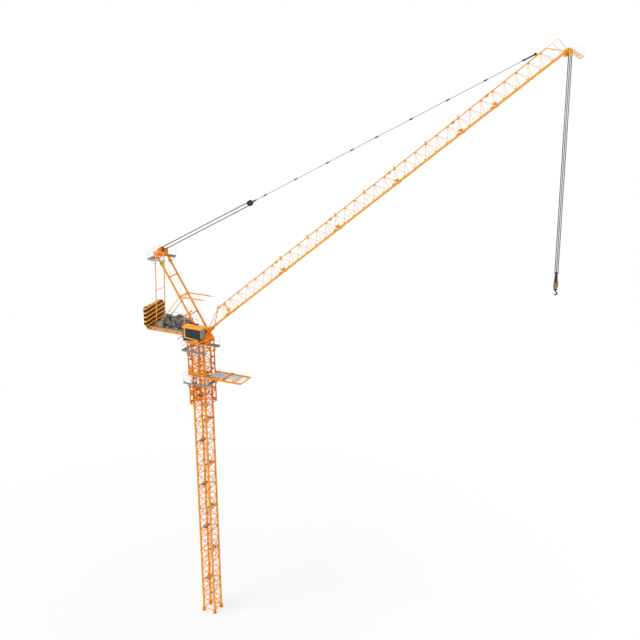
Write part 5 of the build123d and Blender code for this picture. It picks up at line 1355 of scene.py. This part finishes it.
# floor, light and camera
stageSizes = {"floorRadius": 60, "fadeFrom": 9, "fadeTo": 26, "worldLight": 0.77, "sunLight": 1.1}
floorBm = bmesh.new()
bmesh.ops.create_circle(floorBm, cap_ends=True, segments=96, radius=stageSizes["floorRadius"],
                        matrix=Matrix.Translation(at(0, 0, -0.002)))
floorMesh = bpy.data.meshes.new("studio_floor")
floorBm.to_mesh(floorMesh)
floorBm.free()
floor = bpy.data.objects.new("studio_floor", floorMesh)
bpy.context.scene.collection.objects.link(floor)

world = bpy.data.worlds.new("studioWhite")
bpy.context.scene.world = world
world.use_nodes = True


def seenDirectly(tree):
    path = tree.nodes.new("ShaderNodeLightPath").outputs
    seen = addMath(tree, "MAXIMUM", path["Is Camera Ray"], path["Is Glossy Ray"])
    return addMath(tree, "MAXIMUM", seen, path["Is Transmission Ray"])


worldTree = world.node_tree
skyNode = worldTree.nodes["Background"]
skyNode.inputs["Color"].default_value = (1, 1, 1, 1)
worldTree.links.new(spreadValue(worldTree, seenDirectly(worldTree), 0, 1, stageSizes["worldLight"], 1.0),
                    skyNode.inputs["Strength"])

floorLook, floorTree, floorShader, floorWhere = startFinish("studioFloor")
floorShader.inputs["Base Color"].default_value = (0.9, 0.9, 0.9, 1)
floorShader.inputs["Roughness"].default_value = 0.9
glow = floorTree.nodes.new("ShaderNodeEmission")
reach = floorTree.nodes.new("ShaderNodeVectorMath")
reach.operation = "DISTANCE"
reach.inputs[1].default_value = at(0, 0, 0)
floorTree.links.new(floorWhere, reach.inputs[0])
fade = spreadValue(floorTree, reach.outputs["Value"], stageSizes["fadeFrom"], stageSizes["fadeTo"], 0.6, 1)
whiteShare = addMath(floorTree, "MULTIPLY", fade, seenDirectly(floorTree))
floorMix = floorTree.nodes.new("ShaderNodeMixShader")
for k, source in enumerate((whiteShare, floorShader.outputs[0], glow.outputs[0])):
    floorTree.links.new(source, floorMix.inputs[k])
floorTree.links.new(floorMix.outputs[0], floorTree.nodes["Material Output"].inputs["Surface"])
floorMesh.materials.append(floorLook)

sunData = bpy.data.lights.new("softKey", "SUN")
sunData.energy = stageSizes["sunLight"]
sunData.angle = radians(35)
sun = bpy.data.objects.new("softKey", sunData)
sun.rotation_euler = Vector((0.36, 0.5, -0.79)).to_track_quat("-Z", "Y").to_euler()
bpy.context.scene.collection.objects.link(sun)

cameraPlace = {"spot": (35.017, -53.066, 41.91), "turn": 26.48, "drop": 19.223, "roll": -0.48, "lens": 63.46}
cameraData = bpy.data.cameras.new("photoView")
cameraData.sensor_width = 36
cameraData.lens = cameraPlace["lens"]
cameraData.clip_end = 500
camera = bpy.data.objects.new("photoView", cameraData)
camera.location = cameraPlace["spot"]
view = (Matrix.Rotation(radians(cameraPlace["turn"]), 4, "Z")
        @ Matrix.Rotation(radians(90 - cameraPlace["drop"]), 4, "X")
        @ Matrix.Rotation(radians(cameraPlace["roll"]), 4, "Z"))
camera.rotation_euler = view.to_euler()
bpy.context.scene.collection.objects.link(camera)
bpy.context.scene.camera = camera
bpy.context.scene.view_settings.view_transform = "Standard"
print("stage set")
